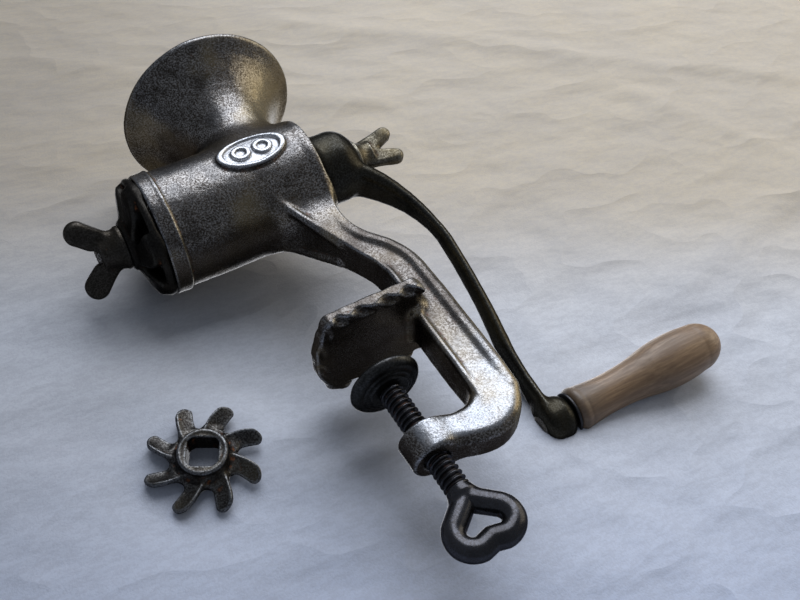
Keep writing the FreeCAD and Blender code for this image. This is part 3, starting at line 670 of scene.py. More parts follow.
def wing(sign, base, root, tip, spread, root_half, tip_half, half, x, y, z):
    """One wing of a wing nut: a flat blade across Y with a rounded, slightly thicker tip."""
    blade = rod_distance((base, sign * root, 0), (tip, sign * spread, 0), root_half, tip_half, x, y, 0.0)
    thicker = half + 0.7 * ramp(1.0 - np.hypot(x - tip, y - sign * spread) / (2.2 * tip_half))
    return rounded_join(blade, np.abs(z) - thicker, half * 0.8)


NUT_BASE = corners("front_wing_nut")[1][0]
NUT_TIP = corners("front_wing_nut")[0][0]
NUT_COLLAR = traced([
    (NUT_BASE - 0.6, -1.0), (NUT_BASE - 0.6, 8.2), (NUT_BASE - 1.4, 8.2),
    ("arc", (NUT_BASE - 5.0, 6.4), (NUT_BASE - 9.4, 5.4)),
    (NUT_BASE - 9.4, -1.0),
])


def front_nut_field(x, y, z):
    """The wing nut in its own frame: its collar on the X axis and its wings across Z."""
    radial = np.hypot(y, z)
    solid = outline_distance(NUT_COLLAR, x, radial) - 0.6
    for sign in (-1, 1):
        blade = wing(sign, NUT_BASE - 6.0, 3.0, NUT_TIP + 4.7, 11.2, 4.4, 4.7, 2.6, x, z, y)
        solid = smooth_min(solid, blade, 2.4)
    solid = solid - 0.10 * waves(x, y, z, 3.0)
    hole = np.maximum(radial - 3.55, NUT_TIP - 5.0 - x)
    return smooth_max(solid, -hole, 0.5)


def make_front_nut():
    low = (NUT_TIP - 2.0, -10.5, -18.0)
    high = (NUT_BASE + 1.0, 10.5, 18.0)
    return cast("front_wing_nut", front_nut_field, low, high, 0.3, on_barrel_axis(NUT_TURN))


THUMB_HIGH = corners("thumb_screw")[1][0]
THUMB_COLLAR = traced([
    (HUB_REAR + 0.65, -1.0), (HUB_REAR + 0.65, 7.0), (HUB_REAR + 1.3, 7.0),
    ("arc", (HUB_REAR + 4.0, 5.0), (HUB_REAR + 8.0, 4.2)),
    (HUB_REAR + 8.0, -1.0),
])


def thumb_field(x, y, z):
    """The thumb screw in its own frame: shank, collar and two wings close together."""
    radial = np.hypot(y, z)
    solid = outline_distance(THUMB_COLLAR, x, radial) - 0.6
    for sign in (-1, 1):
        blade = wing(sign, HUB_REAR + 6.5, 2.2, THUMB_HIGH - 3.3, 6.0, 4.4, 3.1, 2.2, x, z, y)
        solid = smooth_min(solid, blade, 1.8)
    shank = np.maximum(radial - 2.9, np.abs(x - 38.5) - 7.5)
    return np.minimum(solid, shank) - 0.09 * waves(x, y, z, 2.6)


def make_thumb():
    low = (29.0, -9.5, -12.0)
    high = (THUMB_HIGH + 2.0, 9.5, 12.0)
    return cast("thumb_screw", thumb_field, low, high, 0.28, on_barrel_axis(THUMB_TURN))


# ---------------------------------------------------------------- fitted cutter and star cutter

CUTTER_LOW, CUTTER_HIGH = corners("front_cutter")
CUTTER_FRONT = CUTTER_LOW[0]
MOUTH = FRONT - 0.1
CUTTER_RADIUS = 24.6
CUTTER_ARMS = 6
DRIVE_RADIUS = 6.45
DRIVE_HALF = 5.35
DISH = traced([
    (CUTTER_FRONT + 3.2, 0.0), (CUTTER_FRONT + 3.2, 8.0),
    ("arc", (CUTTER_FRONT + 4.6, 15.0), (MOUTH - 3.6, 21.4)),
    (MOUTH - 1.6, 23.2),
])


def cutter_field(x, y, z):
    """A hub and curved blades that lean back to the barrel's mouth, in its own frame."""
    radial = np.hypot(y, z)
    turn = np.arctan2(z, y) + 0.028 * (radial - 9.0)
    step = TAU / CUTTER_ARMS
    offset = (turn / step - np.round(turn / step)) * step
    across = radial * np.sin(offset)
    shell = curve_distance(DISH, x, radial) - 1.7 - 0.5 * ramp((radial - 16.0) / 6.0)
    lobe = np.abs(across) - 6.6 + 1.6 * np.exp(-((radial - 13.0) / 4.0) ** 2)
    tip = radial - CUTTER_RADIUS + 0.06 * across * across
    arms = rounded_join(rounded_join(shell, lobe, 1.3), tip, 1.6)
    middle = (CUTTER_FRONT + MOUTH + 1.0) / 2
    hub = rounded_join(radial - 9.8, np.abs(x - middle) - (MOUTH + 1.0 - CUTTER_FRONT) / 2, 1.0)
    ring = np.hypot((x - MOUTH + 1.7) / 1.1, radial - 22.6) - 1.5
    solid = smooth_min(smooth_min(hub, arms, 2.6), ring, 1.4)
    solid = np.maximum(solid, x - MOUTH - 1.0) - 0.10 * waves(x, y, z, 3.4)
    square = rounded_join(np.maximum(np.abs(y), np.abs(z)) - DRIVE_HALF, radial - DRIVE_RADIUS, 0.2)
    return smooth_max(solid, -square, 0.4)


def make_cutter():
    low = (CUTTER_FRONT - 1.5, -27.0, -27.0)
    high = (CUTTER_HIGH[0] + 1.5, 27.0, 27.0)
    return cast("front_cutter", cutter_field, low, high, 0.36, on_barrel_axis(CRANK_TURN))


STAR_BLADES = 8
STAR_RADIUS = 21.0
STAR_COLLAR_RADIUS = 9.4
STAR_CENTRE = Vector((-63.5, 15.85, -4.0))
STAR_BLADE_WAY = Vector((1, 0, 0.05))
STAR_COLLAR_WAY = Vector((0.015, -0.995, -0.103)).normalized()
STAR_DRIVE_TURN = math.radians(-31)
STAR_COLLAR = [
    (0.0, -1.8), (STAR_COLLAR_RADIUS - 1.2, -1.8), (STAR_COLLAR_RADIUS - 0.8, 1.0),
    (STAR_COLLAR_RADIUS - 0.8, 2.4), (STAR_COLLAR_RADIUS - 1.8, 5.2), (0.0, 5.2),
]


def star_field(x, y, z):
    """A star of pitched, slightly curved blades round a raised collar, collar up along Z."""
    radial = np.hypot(x, y)
    swept = 0.020 * (radial - 15.0)
    turn = np.arctan2(y, x) + swept
    step = TAU / STAR_BLADES
    offset = (turn / step - np.round(turn / step)) * step
    across = radial * np.sin(offset)
    pitch = math.radians(26)
    rise = z - 0.4
    flat = across * math.cos(pitch) + rise * math.sin(pitch)
    thick = -across * math.sin(pitch) + rise * math.cos(pitch)
    dish = thick - 0.035 * flat * flat + 0.010 * (radial - 14.0) ** 2
    leaf_half = 2.4 + 0.9 * np.sin(np.clip((radial - 7.0) / 15.6, 0.0, 1.0) * math.pi * 0.86)
    tip = radial - STAR_RADIUS + 0.16 * flat * flat
    leaf = rounded_join(np.abs(flat) - leaf_half, np.abs(dish) - 0.95, 0.6)
    leaf = rounded_join(leaf, tip, 0.8)
    web = rounded_join(radial - 11.4, np.abs(z) - 1.3, 0.9)
    collar = outline_distance(STAR_COLLAR, radial, z) - 0.8
    lip = np.hypot(radial - 7.9, z - 5.4) - 0.75
    solid = smooth_min(smooth_min(leaf, web, 2.6), smooth_min(collar, lip, 0.8), 1.3)
    solid = solid - 0.10 * waves(x, y, z, 2.6)
    along = x * math.cos(STAR_DRIVE_TURN) + y * math.sin(STAR_DRIVE_TURN)
    aside = y * math.cos(STAR_DRIVE_TURN) - x * math.sin(STAR_DRIVE_TURN)
    square = rounded_join(np.maximum(np.abs(along), np.abs(aside)) - DRIVE_HALF, radial - DRIVE_RADIUS, 0.2)
    return smooth_max(solid, -square, 0.4)


def star_place():
    z = STAR_COLLAR_WAY
    x = (STAR_BLADE_WAY - z * STAR_BLADE_WAY.dot(z)).normalized()
    y = z.cross(x)
    turn = Matrix((x, y, z)).transposed().to_4x4()
    return Matrix.Translation(STAR_CENTRE * MM) @ turn


def make_star():
    low = (-24.5, -24.5, -6.5)
    high = (24.5, 24.5, 8.5)
    return cast("star_cutter", star_field, low, high, 0.32, star_place())


# ---------------------------------------------------------------- clamp screw and pad

CLAMP_LOW, CLAMP_HIGH = corners("clamp_screw")
BOW_ROD = 4.1
BOW_TOP = -68.4
BOW_LOBE = 5.7
BOW_LOBE_X = (CLAMP_HIGH[0] - CLAMP_LOW[0]) / 2 - BOW_ROD - BOW_LOBE
BOW_LOBE_Z = CLAMP_LOW[2] + BOW_ROD + BOW_LOBE
THREAD_TOP = -22.0
THREAD_END = -65.6
PAD_LOW, PAD_HIGH = corners("swivel_pad")
PAD_RADIUS = (PAD_HIGH[0] - PAD_LOW[0]) / 2


def bow_points():
    """Half of the bow's centre line: from the apex round one lobe to the dent below."""
    lobe = [(BOW_LOBE_X + BOW_LOBE * math.cos(t), BOW_LOBE_Z + BOW_LOBE * math.sin(t))
            for t in (math.radians(54 - 5.0 * n) for n in range(30))]
    return [(0.0, BOW_TOP)] + lobe + [(0.0, BOW_LOBE_Z - BOW_LOBE + 1.1)]


BOW_POINTS = bow_points()


def clamp_field(x, y, z):
    """Rod with a real helical thread, and the round bow bent from the same bar."""
    out = np.hypot(x, y)
    lead = z / SCREW_PITCH - np.arctan2(y, x) / TAU
    tooth = np.abs((lead - np.floor(lead)) - 0.5) * 2.0
    fade = ramp((THREAD_TOP - z) / 1.5) * ramp((z - THREAD_END) / 2.5)
    thread = SCREW_RADIUS - 1.15 * fade * ramp(tooth * 1.25 - 0.1)
    rod = rounded_join(out - thread, np.abs(z + 44.4) - 22.9, 0.6) * 0.8
    neck = rounded_join(out - 3.4, np.abs(z + 24.0) - 7.5, 0.3)
    head = rounded_join(out - 4.6, np.abs(z + 16.7) - 0.55, 0.4)
    bow = np.hypot(curve_distance(BOW_POINTS, np.abs(x), z), y) - BOW_ROD
    bow = bow - 0.12 * waves(x, y, z, 6.0)
    return np.minimum(smooth_min(rod, bow, 2.2), np.minimum(neck, head))


def make_clamp():
    low = (CLAMP_LOW[0] - 1.5, -6.5, CLAMP_LOW[2] - 1.5)
    high = (CLAMP_HIGH[0] + 1.5, 6.5, CLAMP_HIGH[2] + 1.5)
    return cast("clamp_screw", clamp_field, low, high, 0.26)


PAD_SKIN = traced([
    (3.45, PAD_LOW[2] + 0.5), (6.9, PAD_LOW[2] + 0.5), (8.0, PAD_LOW[2] + 1.3),
    (PAD_RADIUS - 3.4, PAD_LOW[2] + 1.8),
    ("arc", (PAD_RADIUS - 1.0, PAD_LOW[2] + 2.7), (PAD_RADIUS - 0.5, PAD_LOW[2] + 3.8)),
    ("arc", (PAD_RADIUS - 0.9, PAD_HIGH[2] - 0.9), (PAD_RADIUS - 2.0, PAD_HIGH[2] - 0.5)),
    (5.7, PAD_HIGH[2] - 0.5), (5.7, PAD_HIGH[2] - 2.0), (3.95, PAD_HIGH[2] - 2.0), (3.95, PAD_LOW[2] + 1.0),
])


def pad_field(x, y, z):
    out = np.hypot(x, y)
    ridge = 0.25 * np.exp(-((out - PAD_RADIUS + 4.6) / 0.7) ** 2)
    return outline_distance(PAD_SKIN, out, z) - 0.5 - ridge + 0.05 * waves(x, y, z, 4.0)


def make_pad():
    reach = PAD_RADIUS + 1.5
    low = (-reach, -reach, PAD_LOW[2] - 1.5)
    high = (reach, reach, PAD_HIGH[2] + 1.5)
    return cast("swivel_pad", pad_field, low, high, 0.28)


# ---------------------------------------------------------------- materials

class Nodes:
    """A short way to write a material's node tree."""

    def __init__(self, name):
        self.material = bpy.data.materials.new(name)
        self.material.use_nodes = True
        self.tree = self.material.node_tree
        self.shader = self.tree.nodes["Principled BSDF"]
        self.place = self.add("ShaderNodeTexCoord").outputs["Object"]

    def add(self, kind, **values):
        node = self.tree.nodes.new(kind)
        for key, value in values.items():
            setattr(node, key, value)
        return node

    def put(self, socket, value):
        if isinstance(value, bpy.types.NodeSocket):
            self.tree.links.new(value, socket)
        else:
            socket.default_value = value

    def set(self, **inputs):
        for key, value in inputs.items():
            self.put(self.shader.inputs[key.replace("_", " ")], value)

    def noise(self, size_mm, detail=3.0, roughness=0.55, stretch=None, offset=0.0):
        """Noise whose blotches are about size_mm across."""
        place = self.place
        scale = 1.0 / (size_mm * MM)
        if stretch or offset:
            mapping = self.add("ShaderNodeMapping")
            mapping.inputs["Location"].default_value = (offset, offset * 0.7, -offset)
            mapping.inputs["Scale"].default_value = stretch or (1, 1, 1)
            self.put(mapping.inputs["Vector"], place)
            place = mapping.outputs["Vector"]
        node = self.add("ShaderNodeTexNoise")
        self.put(node.inputs["Vector"], place)
        node.inputs["Scale"].default_value = scale
        node.inputs["Detail"].default_value = detail
        node.inputs["Roughness"].default_value = roughness
        return node.outputs["Fac"]

    def ramp(self, value, low, high, out_low=0.0, out_high=1.0):
        node = self.add("ShaderNodeMapRange", interpolation_type="SMOOTHSTEP")
        self.put(node.inputs["Value"], value)
        limits = {"From Min": low, "From Max": high, "To Min": out_low, "To Max": out_high}
        for key, number in limits.items():
            node.inputs[key].default_value = number
        return node.outputs["Result"]

    def math(self, operation, first, second=0.5, third=0.0):
        node = self.add("ShaderNodeMath", operation=operation)
        for socket, value in zip(node.inputs, (first, second, third)):
            self.put(socket, value)
        return node.outputs[0]

    def times(self, first, second):
        return self.math("MULTIPLY", first, second)

    def mix(self, factor, first, second):
        node = self.add("ShaderNodeMix", data_type="RGBA")
        self.put(node.inputs["Factor"], factor)
        for socket, value in ((node.inputs["A"], first), (node.inputs["B"], second)):
            self.put(socket, (*value, 1.0) if isinstance(value, tuple) else value)
        return node.outputs["Result"]

    def along(self, direction):
        """How far a point lies along a direction, in metres."""
        node = self.add("ShaderNodeVectorMath", operation="DOT_PRODUCT")
        self.put(node.inputs[0], self.place)
        node.inputs[1].default_value = direction
        return node.outputs["Value"]

    def normal(self, axis):
        """One part of the surface's direction, between -1 and 1."""
        node = self.add("ShaderNodeSeparateXYZ")
        self.put(node.inputs[0], self.add("ShaderNodeTexCoord").outputs["Normal"])
        return node.outputs[axis]

    def badge_highlight_mask(self):
        """1 on the casting's oval badge and 0 elsewhere: its tin is worn bright, with a painted highlight
        on it.
        """
        u = self.math("SUBTRACT", self.along((1, 0, 0)), BADGE_X * MM)
        v = self.math("SUBTRACT", self.along((0, 0, 1)), AXIS * MM)
        u = self.math("DIVIDE", u, BADGE_HALF[0] * MM)
        v = self.math("DIVIDE", v, BADGE_HALF[1] * MM)
        oval = self.math("ADD", self.times(u, u), self.times(v, v))
        near = self.math("GREATER_THAN", self.along((0, -1, 0)), 0.9 * BARREL_RADIUS * MM)
        return self.times(self.ramp(oval, 0.80, 1.0, 1.0, 0.0), near)

    def attribute(self, name):
        return self.add("ShaderNodeAttribute", attribute_name=name).outputs["Fac"]

    def bump(self, height, depth_mm, under=None):
        node = self.add("ShaderNodeBump")
        node.inputs["Distance"].default_value = depth_mm * MM
        self.put(node.inputs["Height"], height)
        if under is not None:
            self.put(node.inputs["Normal"], under)
        return node.outputs["Normal"]


# Colour of the painted warm reflection on surfaces that face +X.
PAINTED_REFLECTION_COLOUR = (0.30, 0.26, 0.175)
RUST = (0.12, 0.043, 0.015)


def plain_iron(n, speckle, patches, dark, light, olive):
    """The iron's own colour: fine speckle, darker patches and warm clouds."""
    cloud = n.noise(24.0, 2.0, 0.5, offset=1.7)
    darker = tuple(0.6 * c for c in dark)
    warm = tuple(c * k for c, k in zip(light, (1.0, 0.84, 0.52)))
    skin = n.mix(n.ramp(speckle, 0.40, 0.64), dark, light)
    skin = n.mix(n.times(n.ramp(patches, 0.42, 0.70), 0.6), skin, darker)
    return n.mix(n.times(n.ramp(cloud, 0.45, 0.70), olive), skin, warm)


def painted_warm_side_and_edge_wear(n, skin, speckle, bright, edges, painted_reflection):
    """A painted warm reflection on the rear (+X) sides, and bright metal on the rubbed edges."""
    # Painted reflection: surfaces facing +X are lightened towards a warm colour, as if lit by the warm side
    # lamp.
    side = n.times(n.ramp(n.normal("X"), 0.25, 0.85), painted_reflection)
    side = n.times(side, n.ramp(speckle, 0.36, 0.58, 0.4, 1.0))
    edge = n.ramp(n.attribute("wear"), 0.22, 1.1)
    edge = n.times(edge, n.ramp(speckle, 0.34, 0.60, 0.15, 1.0))
    skin = n.mix(side, skin, PAINTED_REFLECTION_COLOUR)
    return n.mix(n.times(edge, edges), skin, bright)


def painted_face_highlight(n, skin, speckle, patches, bright, faces):
    """A painted highlight on the flat faces that point along ±Y, most of it low on the clamp."""
    # Painted highlight: faces pointing along ±Y are lightened towards the bright colour, most below the
    # jaw, standing in for the window's reflection.
    flat = n.times(n.ramp(n.math("ABSOLUTE", n.normal("Y")), 0.80, 0.985), faces)
    flat = n.times(flat, n.ramp(n.along((0, 0, 1)), -0.040, -0.005, 1.0, 0.25))
    flat = n.times(flat, n.ramp(patches, 0.34, 0.60, 0.45, 1.0))
    return n.mix(n.times(flat, n.ramp(speckle, 0.36, 0.56, 0.62, 1.0)), skin, bright)


def painted_shade_faces(n, skin, patches, dark, shade):
    """Painted shade: patchy darkening of the leg's flat faces, and dark faces underneath and inside the
    clamp.
    """
    # Painted shade on the leg's flat ±Y faces, in patches, dimming their bright reflection.
    height = n.along((0, 0, 1))
    leg = n.ramp(n.math("ABSOLUTE", n.normal("Y")), 0.80, 0.985)
    leg = n.times(leg, n.ramp(height, -0.035, 0.0))
    leg = n.times(leg, n.ramp(height, 0.045, 0.065, 1.0, 0.0))
    leg = n.times(leg, n.ramp(patches, 0.30, 0.62, 0.48, 0.90))
    # Painted shade on faces that point down or into the clamp's throat (-X).
    under = n.ramp(n.times(n.normal("Z"), -1.0), 0.90, 0.99)
    inside = n.ramp(n.times(n.normal("X"), -1.0), 0.70, 0.95)
    skin = n.mix(n.times(leg, shade), skin, dark)
    return n.mix(n.times(n.math("MAXIMUM", under, inside), shade), skin, dark)


# The face, side and shade settings set the strength of a painted highlight, a painted warm reflection and
# painted shade.
def iron(name, dark, light, bright, rust=0.3, olive=0.3, polish=0.30, grain=1.0, edges=0.45,
         faces=0.0, painted_reflection=0.0, shade=0.0, badge=None):
    """Old iron: speckle, glossy worn edges, dark hollows, a little rust and a cast surface; where asked,
    also a painted warm reflection, painted highlights on the flat faces and badge, and painted shade.
    """
    n = Nodes(name)
    speckle = n.noise(0.62, 4.0, 0.65)
    patches = n.noise(8.0, 3.0, 0.55, offset=0.31)
    spots = n.noise(3.2, 5.0, 0.7, offset=3.3)
    hollow = n.ramp(n.times(n.attribute("wear"), -1.0), 0.08, 0.55)
    skin = plain_iron(n, speckle, patches, dark, light, olive)
    skin = painted_warm_side_and_edge_wear(n, skin, speckle, bright, edges, painted_reflection)
    skin = n.mix(n.times(hollow, 0.6), skin, tuple(0.35 * c for c in dark))
    skin = painted_face_highlight(n, skin, speckle, patches, bright, faces)
    skin = painted_shade_faces(n, skin, patches, dark, shade)
    rusty = n.times(hollow, n.ramp(spots, 0.50, 0.66))
    rusty = n.times(n.math("ADD", n.ramp(spots, 0.66, 0.76), rusty), rust)
    rusted = n.math("MINIMUM", rusty, 1.0)
    skin = n.mix(rusted, skin, RUST)
    # The badge: worn tin lightened further by a painted highlight.
    if badge:
        plate = n.times(n.badge_highlight_mask(), n.ramp(speckle, 0.34, 0.52, 0.4, 0.9))
        skin = n.mix(plate, skin, badge)
    rough = n.ramp(speckle, 0.35, 0.65, polish + 0.13, polish)
    rough = n.math("ADD", rough, n.times(rusty, 0.35))
    rough = n.math("ADD", rough, n.times(hollow, 0.15))
    fine = n.bump(n.noise(0.55, 3.0, 0.6, offset=5.1), 0.06 * grain)
    coarse = n.bump(n.noise(2.4, 3.0, 0.6, offset=2.2), 0.16 * grain, fine)
    n.set(Base_Color=skin, Normal=coarse, Specular_Tint=(0.35, 0.35, 0.36, 1.0))
    n.set(Roughness=n.math("MINIMUM", rough, 0.95))
    n.set(Metallic=n.math("SUBTRACT", 0.9, n.times(rusted, 0.7)))
    return n.material


def beech():
    """Bare turned beech: fine grain along the grip, short flecks, darker where it is handled."""
    n = Nodes("beech")
    grain = n.noise(1.1, 4.0, 0.6, stretch=(0.06, 1.0, 1.0))
    figure = n.noise(6.0, 2.0, 0.5, stretch=(0.10, 1.0, 1.0), offset=2.1)
    flecks = n.noise(0.6, 2.0, 0.5, stretch=(0.16, 1.0, 1.0), offset=4.0)
    dirt = n.noise(16.0, 3.0, 0.6, offset=1.1)
    wood = n.mix(n.ramp(grain, 0.35, 0.68), (0.125, 0.074, 0.038), (0.215, 0.138, 0.076))
    wood = n.mix(n.times(n.ramp(figure, 0.45, 0.75), 0.5), wood, (0.140, 0.085, 0.048))
    wood = n.mix(n.times(n.ramp(flecks, 0.60, 0.72), 0.45), wood, (0.090, 0.052, 0.027))
    wood = n.mix(n.times(n.ramp(dirt, 0.50, 0.78), 0.45), wood, (0.075, 0.050, 0.032))
    handled = n.ramp(n.along((1, 0, 0)), 0.070, 0.088, 0.75, 0.0)
    handled = n.times(handled, n.ramp(dirt, 0.30, 0.60, 0.5, 1.0))
    wood = n.mix(handled, wood, (0.060, 0.042, 0.028))
    lines = n.bump(grain, 0.10)
    n.set(Base_Color=wood, Normal=n.bump(flecks, 0.05, lines))
    n.set(Roughness=n.ramp(grain, 0.3, 0.7, 0.52, 0.38))
    n.set(Specular_IOR_Level=0.45)
    return n.material


def cloth():
    """The white sheet, with painted light: warm at its top, cool below, in painted shade to the left;
    unseen from behind.
    """
    n = Nodes("sheet_cloth")
    across, up = sheet_axes()
    height = n.along(up)
    # Painted shade: the sheet darkens towards the left, as the light falls off.
    side = n.ramp(n.along(across), -0.19, 0.06, 0.66, 1.0)
    weave = n.noise(0.85, 2.0, 0.6)
    threads = n.noise(1.6, 2.0, 0.5, stretch=(0.35, 1.0, 1.0), offset=0.9)
    blotch = n.noise(60.0, 2.0, 0.5, offset=0.7)
    # Painted light: warm towards the top, cool blue towards the bottom.
    base = n.mix(n.ramp(height, -0.13, 0.03), (0.410, 0.459, 0.580), (0.50, 0.522, 0.568))
    base = n.mix(n.ramp(height, 0.02, 0.15), base, (0.443, 0.391, 0.312))
    base = n.mix(n.ramp(n.math("ADD", weave, threads), 0.8, 1.2, 0.0, 0.20), base, (0.26, 0.26, 0.29))
    base = n.mix(n.ramp(blotch, 0.35, 0.70, 0.12, 0.0), base, (0.24, 0.25, 0.29))
    base = n.mix(side, (0.0, 0.0, 0.0), base)
    ripple = n.bump(n.noise(38.0, 3.0, 0.5, stretch=(0.6, 1.0, 1.3), offset=1.3), 4.0)
    fold = n.noise(52.0, 2.0, 0.5, stretch=(0.7, 1.0, 1.2), offset=6.3)
    ripple = n.bump(n.math("ABSOLUTE", n.math("SUBTRACT", fold, 0.5)), -9.0, ripple)
    n.set(Base_Color=base, Roughness=0.92, Specular_IOR_Level=0.15, Normal=n.bump(weave, 0.14, ripple))
    back = n.add("ShaderNodeNewGeometry").outputs["Backfacing"]
    clear = n.add("ShaderNodeBsdfTransparent")
    blend = n.add("ShaderNodeMixShader")
    n.put(blend.inputs[0], back)
    n.put(blend.inputs[1], n.shader.outputs[0])
    n.put(blend.inputs[2], clear.outputs[0])
    n.put(n.tree.nodes["Material Output"].inputs["Surface"], blend.outputs[0])
    return n.material


def paint(piece, material):
    piece.data.materials.clear()
    piece.data.materials.append(material)


# ---------------------------------------------------------------- sheet, camera and light

SHEET_POINT = Vector((0.0, 31.3, 0.0))
SHEET_NORMAL = Vector((0.1897, -0.9811, 0.0382)).normalized()
SHEET_UP = Vector((0.358, 0.104, 0.928))
SHEET_SIZE = 1500.0
SHEET_CELLS = 300


def sheet_axes():
    """The sheet's own two directions: across it, and up the picture."""
    up = (SHEET_UP - SHEET_NORMAL * SHEET_UP.dot(SHEET_NORMAL)).normalized()
    return up.cross(SHEET_NORMAL), up


def crease(u, v, start, end, width, height):
    """A soft fold's height: a ridge along a line that fades at both ends."""
    length = math.hypot(end[0] - start[0], end[1] - start[1])
    along_x, along_y = (end[0] - start[0]) / length, (end[1] - start[1]) / length
    along = (u - start[0]) * along_x + (v - start[1]) * along_y
    off = -(u - start[0]) * along_y + (v - start[1]) * along_x
    off = off + 3.0 * np.sin(along / 31.0)
    fade = ramp(along / 40.0) * ramp((length - along) / 40.0)
    return height * fade * np.exp(-(np.abs(off) / width) ** 1.35)


# Long creases in the sheet: start, end, width and height.
FOLDS = [
    ((-260, 250), (60, 205), 9, 2.4),
    ((-40, 300), (330, 260), 12, 3.0),
    ((120, 40), (330, 190), 8, 2.1),
    ((90, -150), (330, -60), 9, 2.4),
    ((-300, -60), (-120, -170), 8, 1.95),
    ((-60, -260), (200, -190), 10, 2.55),
    ((170, 260), (400, 60), 10, 2.25),
    ((-330, 60), (-180, 20), 9, 1.95),
]


def sheet_height(u, v):
    """How far the sheet stands out: soft waves, creases, and close under the spare cutter."""
    across, up = sheet_axes()
    drop = -0.75 + 0.35 * waves(u, v, 0 * u, 46.0) + 0.20 * waves(v, u, 0 * u + 9.0, 17.0)
    for start, end, width, height in FOLDS:
        drop = drop + crease(u, v, start, end, width, height)
    spare = STAR_CENTRE - SHEET_POINT
    du, dv = u - spare.dot(across), v - spare.dot(up)
    lean = [STAR_COLLAR_WAY.dot(way) / STAR_COLLAR_WAY.dot(SHEET_NORMAL) for way in (across, up)]
    under = spare.dot(SHEET_NORMAL) - lean[0] * du - lean[1] * dv - 3.0
    return drop + (under - drop) * np.exp(-(np.hypot(du, dv) / 29.0) ** 4)


def make_sheet():
    across, up = sheet_axes()
    steps = np.linspace(-SHEET_SIZE / 2, SHEET_SIZE / 2, SHEET_CELLS + 1)
    u, v = np.meshgrid(steps, steps, indexing="ij")
    base = np.array(SHEET_POINT)[None, None, :]
    points = base + u[..., None] * np.array(across) + v[..., None] * np.array(up)
    points = points + sheet_height(u, v)[..., None] * np.array(SHEET_NORMAL)
    number = np.arange(u.size).reshape(u.shape)
    ring = [number[:-1, :-1], number[1:, :-1], number[1:, 1:], number[:-1, 1:]]
    quads = np.stack(ring, -1).reshape(-1, 4)
    mesh = bpy.data.meshes.new("sheet")
    mesh.from_pydata((points.reshape(-1, 3) * MM).tolist(), [], quads.tolist())
    mesh.polygons.foreach_set("use_smooth", np.ones(len(mesh.polygons), bool))
    if mesh.polygons[0].normal.dot(SHEET_NORMAL) < 0:
        mesh.flip_normals()
    sheet = bpy.data.objects.new("sheet", mesh)
    bpy.context.scene.collection.objects.link(sheet)
    sheet.data.materials.append(cloth())
    sheet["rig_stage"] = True
    return sheet


CAMERA_LENS = 43.71
CAMERA_PLACE = Vector((-93.0, -272.9, -186.8))
CAMERA_RIGHT = Vector((0.86441537, -0.00204858, -0.50277417))
CAMERA_UP = Vector((0.38279967, -0.6456322, 0.6607749))
CAMERA_BACK = Vector((-0.32596085, -0.76364577, -0.5573102))


def make_camera():
    """The photograph's viewing place: below and to the cutter's side, looking at the machine."""
    camera = bpy.data.objects.new("camera", bpy.data.cameras.new("camera"))
    bpy.context.scene.collection.objects.link(camera)
    camera.data.sensor_width = 36.0
    camera.data.lens = CAMERA_LENS
    camera.data.clip_start = 0.01
    camera.data.clip_end = 20.0
    turn = Matrix((CAMERA_RIGHT, CAMERA_UP, CAMERA_BACK)).transposed().to_4x4()
    camera.matrix_world = Matrix.Translation(CAMERA_PLACE * MM) @ turn
    bpy.context.scene.camera = camera


def add_light(name, direction, distance, size, power, color):
    """A square soft light that faces the machine's middle from a direction."""
    middle = Vector((0.02, 0.0, 0.03))
    data = bpy.data.lights.new(name, "AREA")
    data.energy = power
    data.color = color
    data.size = size
    light = bpy.data.objects.new(name, data)
    bpy.context.scene.collection.objects.link(light)
    toward = Vector(direction).normalized()
    light.location = middle + toward * distance
    light.rotation_mode = "QUATERNION"
    light.rotation_quaternion = toward.to_track_quat("Z", "Y")
    return light


def make_lights():
    """A wide window above the picture, mirrored by the machine's near faces, and weak fills."""
    across, up = sheet_axes()
    out = SHEET_NORMAL
    add_light("window", up * 0.60 + out * 0.78 + across * 0.06, 1.5, 1.4, 29.0, (0.95, 0.99, 1.07))
    add_light("right_wall", up * 0.35 + out * 0.45 + across * 0.85, 1.6, 1.2, 8.0, (1.0, 0.88, 0.66))
    back = add_light("back_fill", (0.29, 0.72, 0.63), 1.5, 1.3, 13.0, (0.95, 0.97, 1.0))
    return back


def link_back_light(light, shown):
    """The back fill lights only the machine, and the sheet doesn't shade it."""
    group = bpy.data.collections.new("machine")
    for piece in shown:
        group.objects.link(piece)
    light.light_linking.receiver_collection = group
    light.light_linking.blocker_collection = group


def make_room():
    bpy.context.scene.view_settings.view_transform = "Standard"
    world = bpy.data.worlds.new("room")
    bpy.context.scene.world = world
    world.use_nodes = True
    tree = world.node_tree
    shade = tree.nodes["Background"]
    shade.inputs["Color"].default_value = (0.60, 0.67, 0.80, 1.0)
    shade.inputs["Strength"].default_value = 0.36
    seen = tree.nodes.new("ShaderNodeBackground")
    seen.inputs["Color"].default_value = (0.72, 0.73, 0.76, 1.0)
    seen.inputs["Strength"].default_value = 1.0
    rays = tree.nodes.new("ShaderNodeLightPath")
    choose = tree.nodes.new("ShaderNodeMixShader")
    tree.links.new(rays.outputs["Is Camera Ray"], choose.inputs[0])
    tree.links.new(shade.outputs[0], choose.inputs[1])
    tree.links.new(seen.outputs[0], choose.inputs[2])
    tree.links.new(choose.outputs[0], tree.nodes["World Output"].inputs["Surface"])


# ---------------------------------------------------------------- building

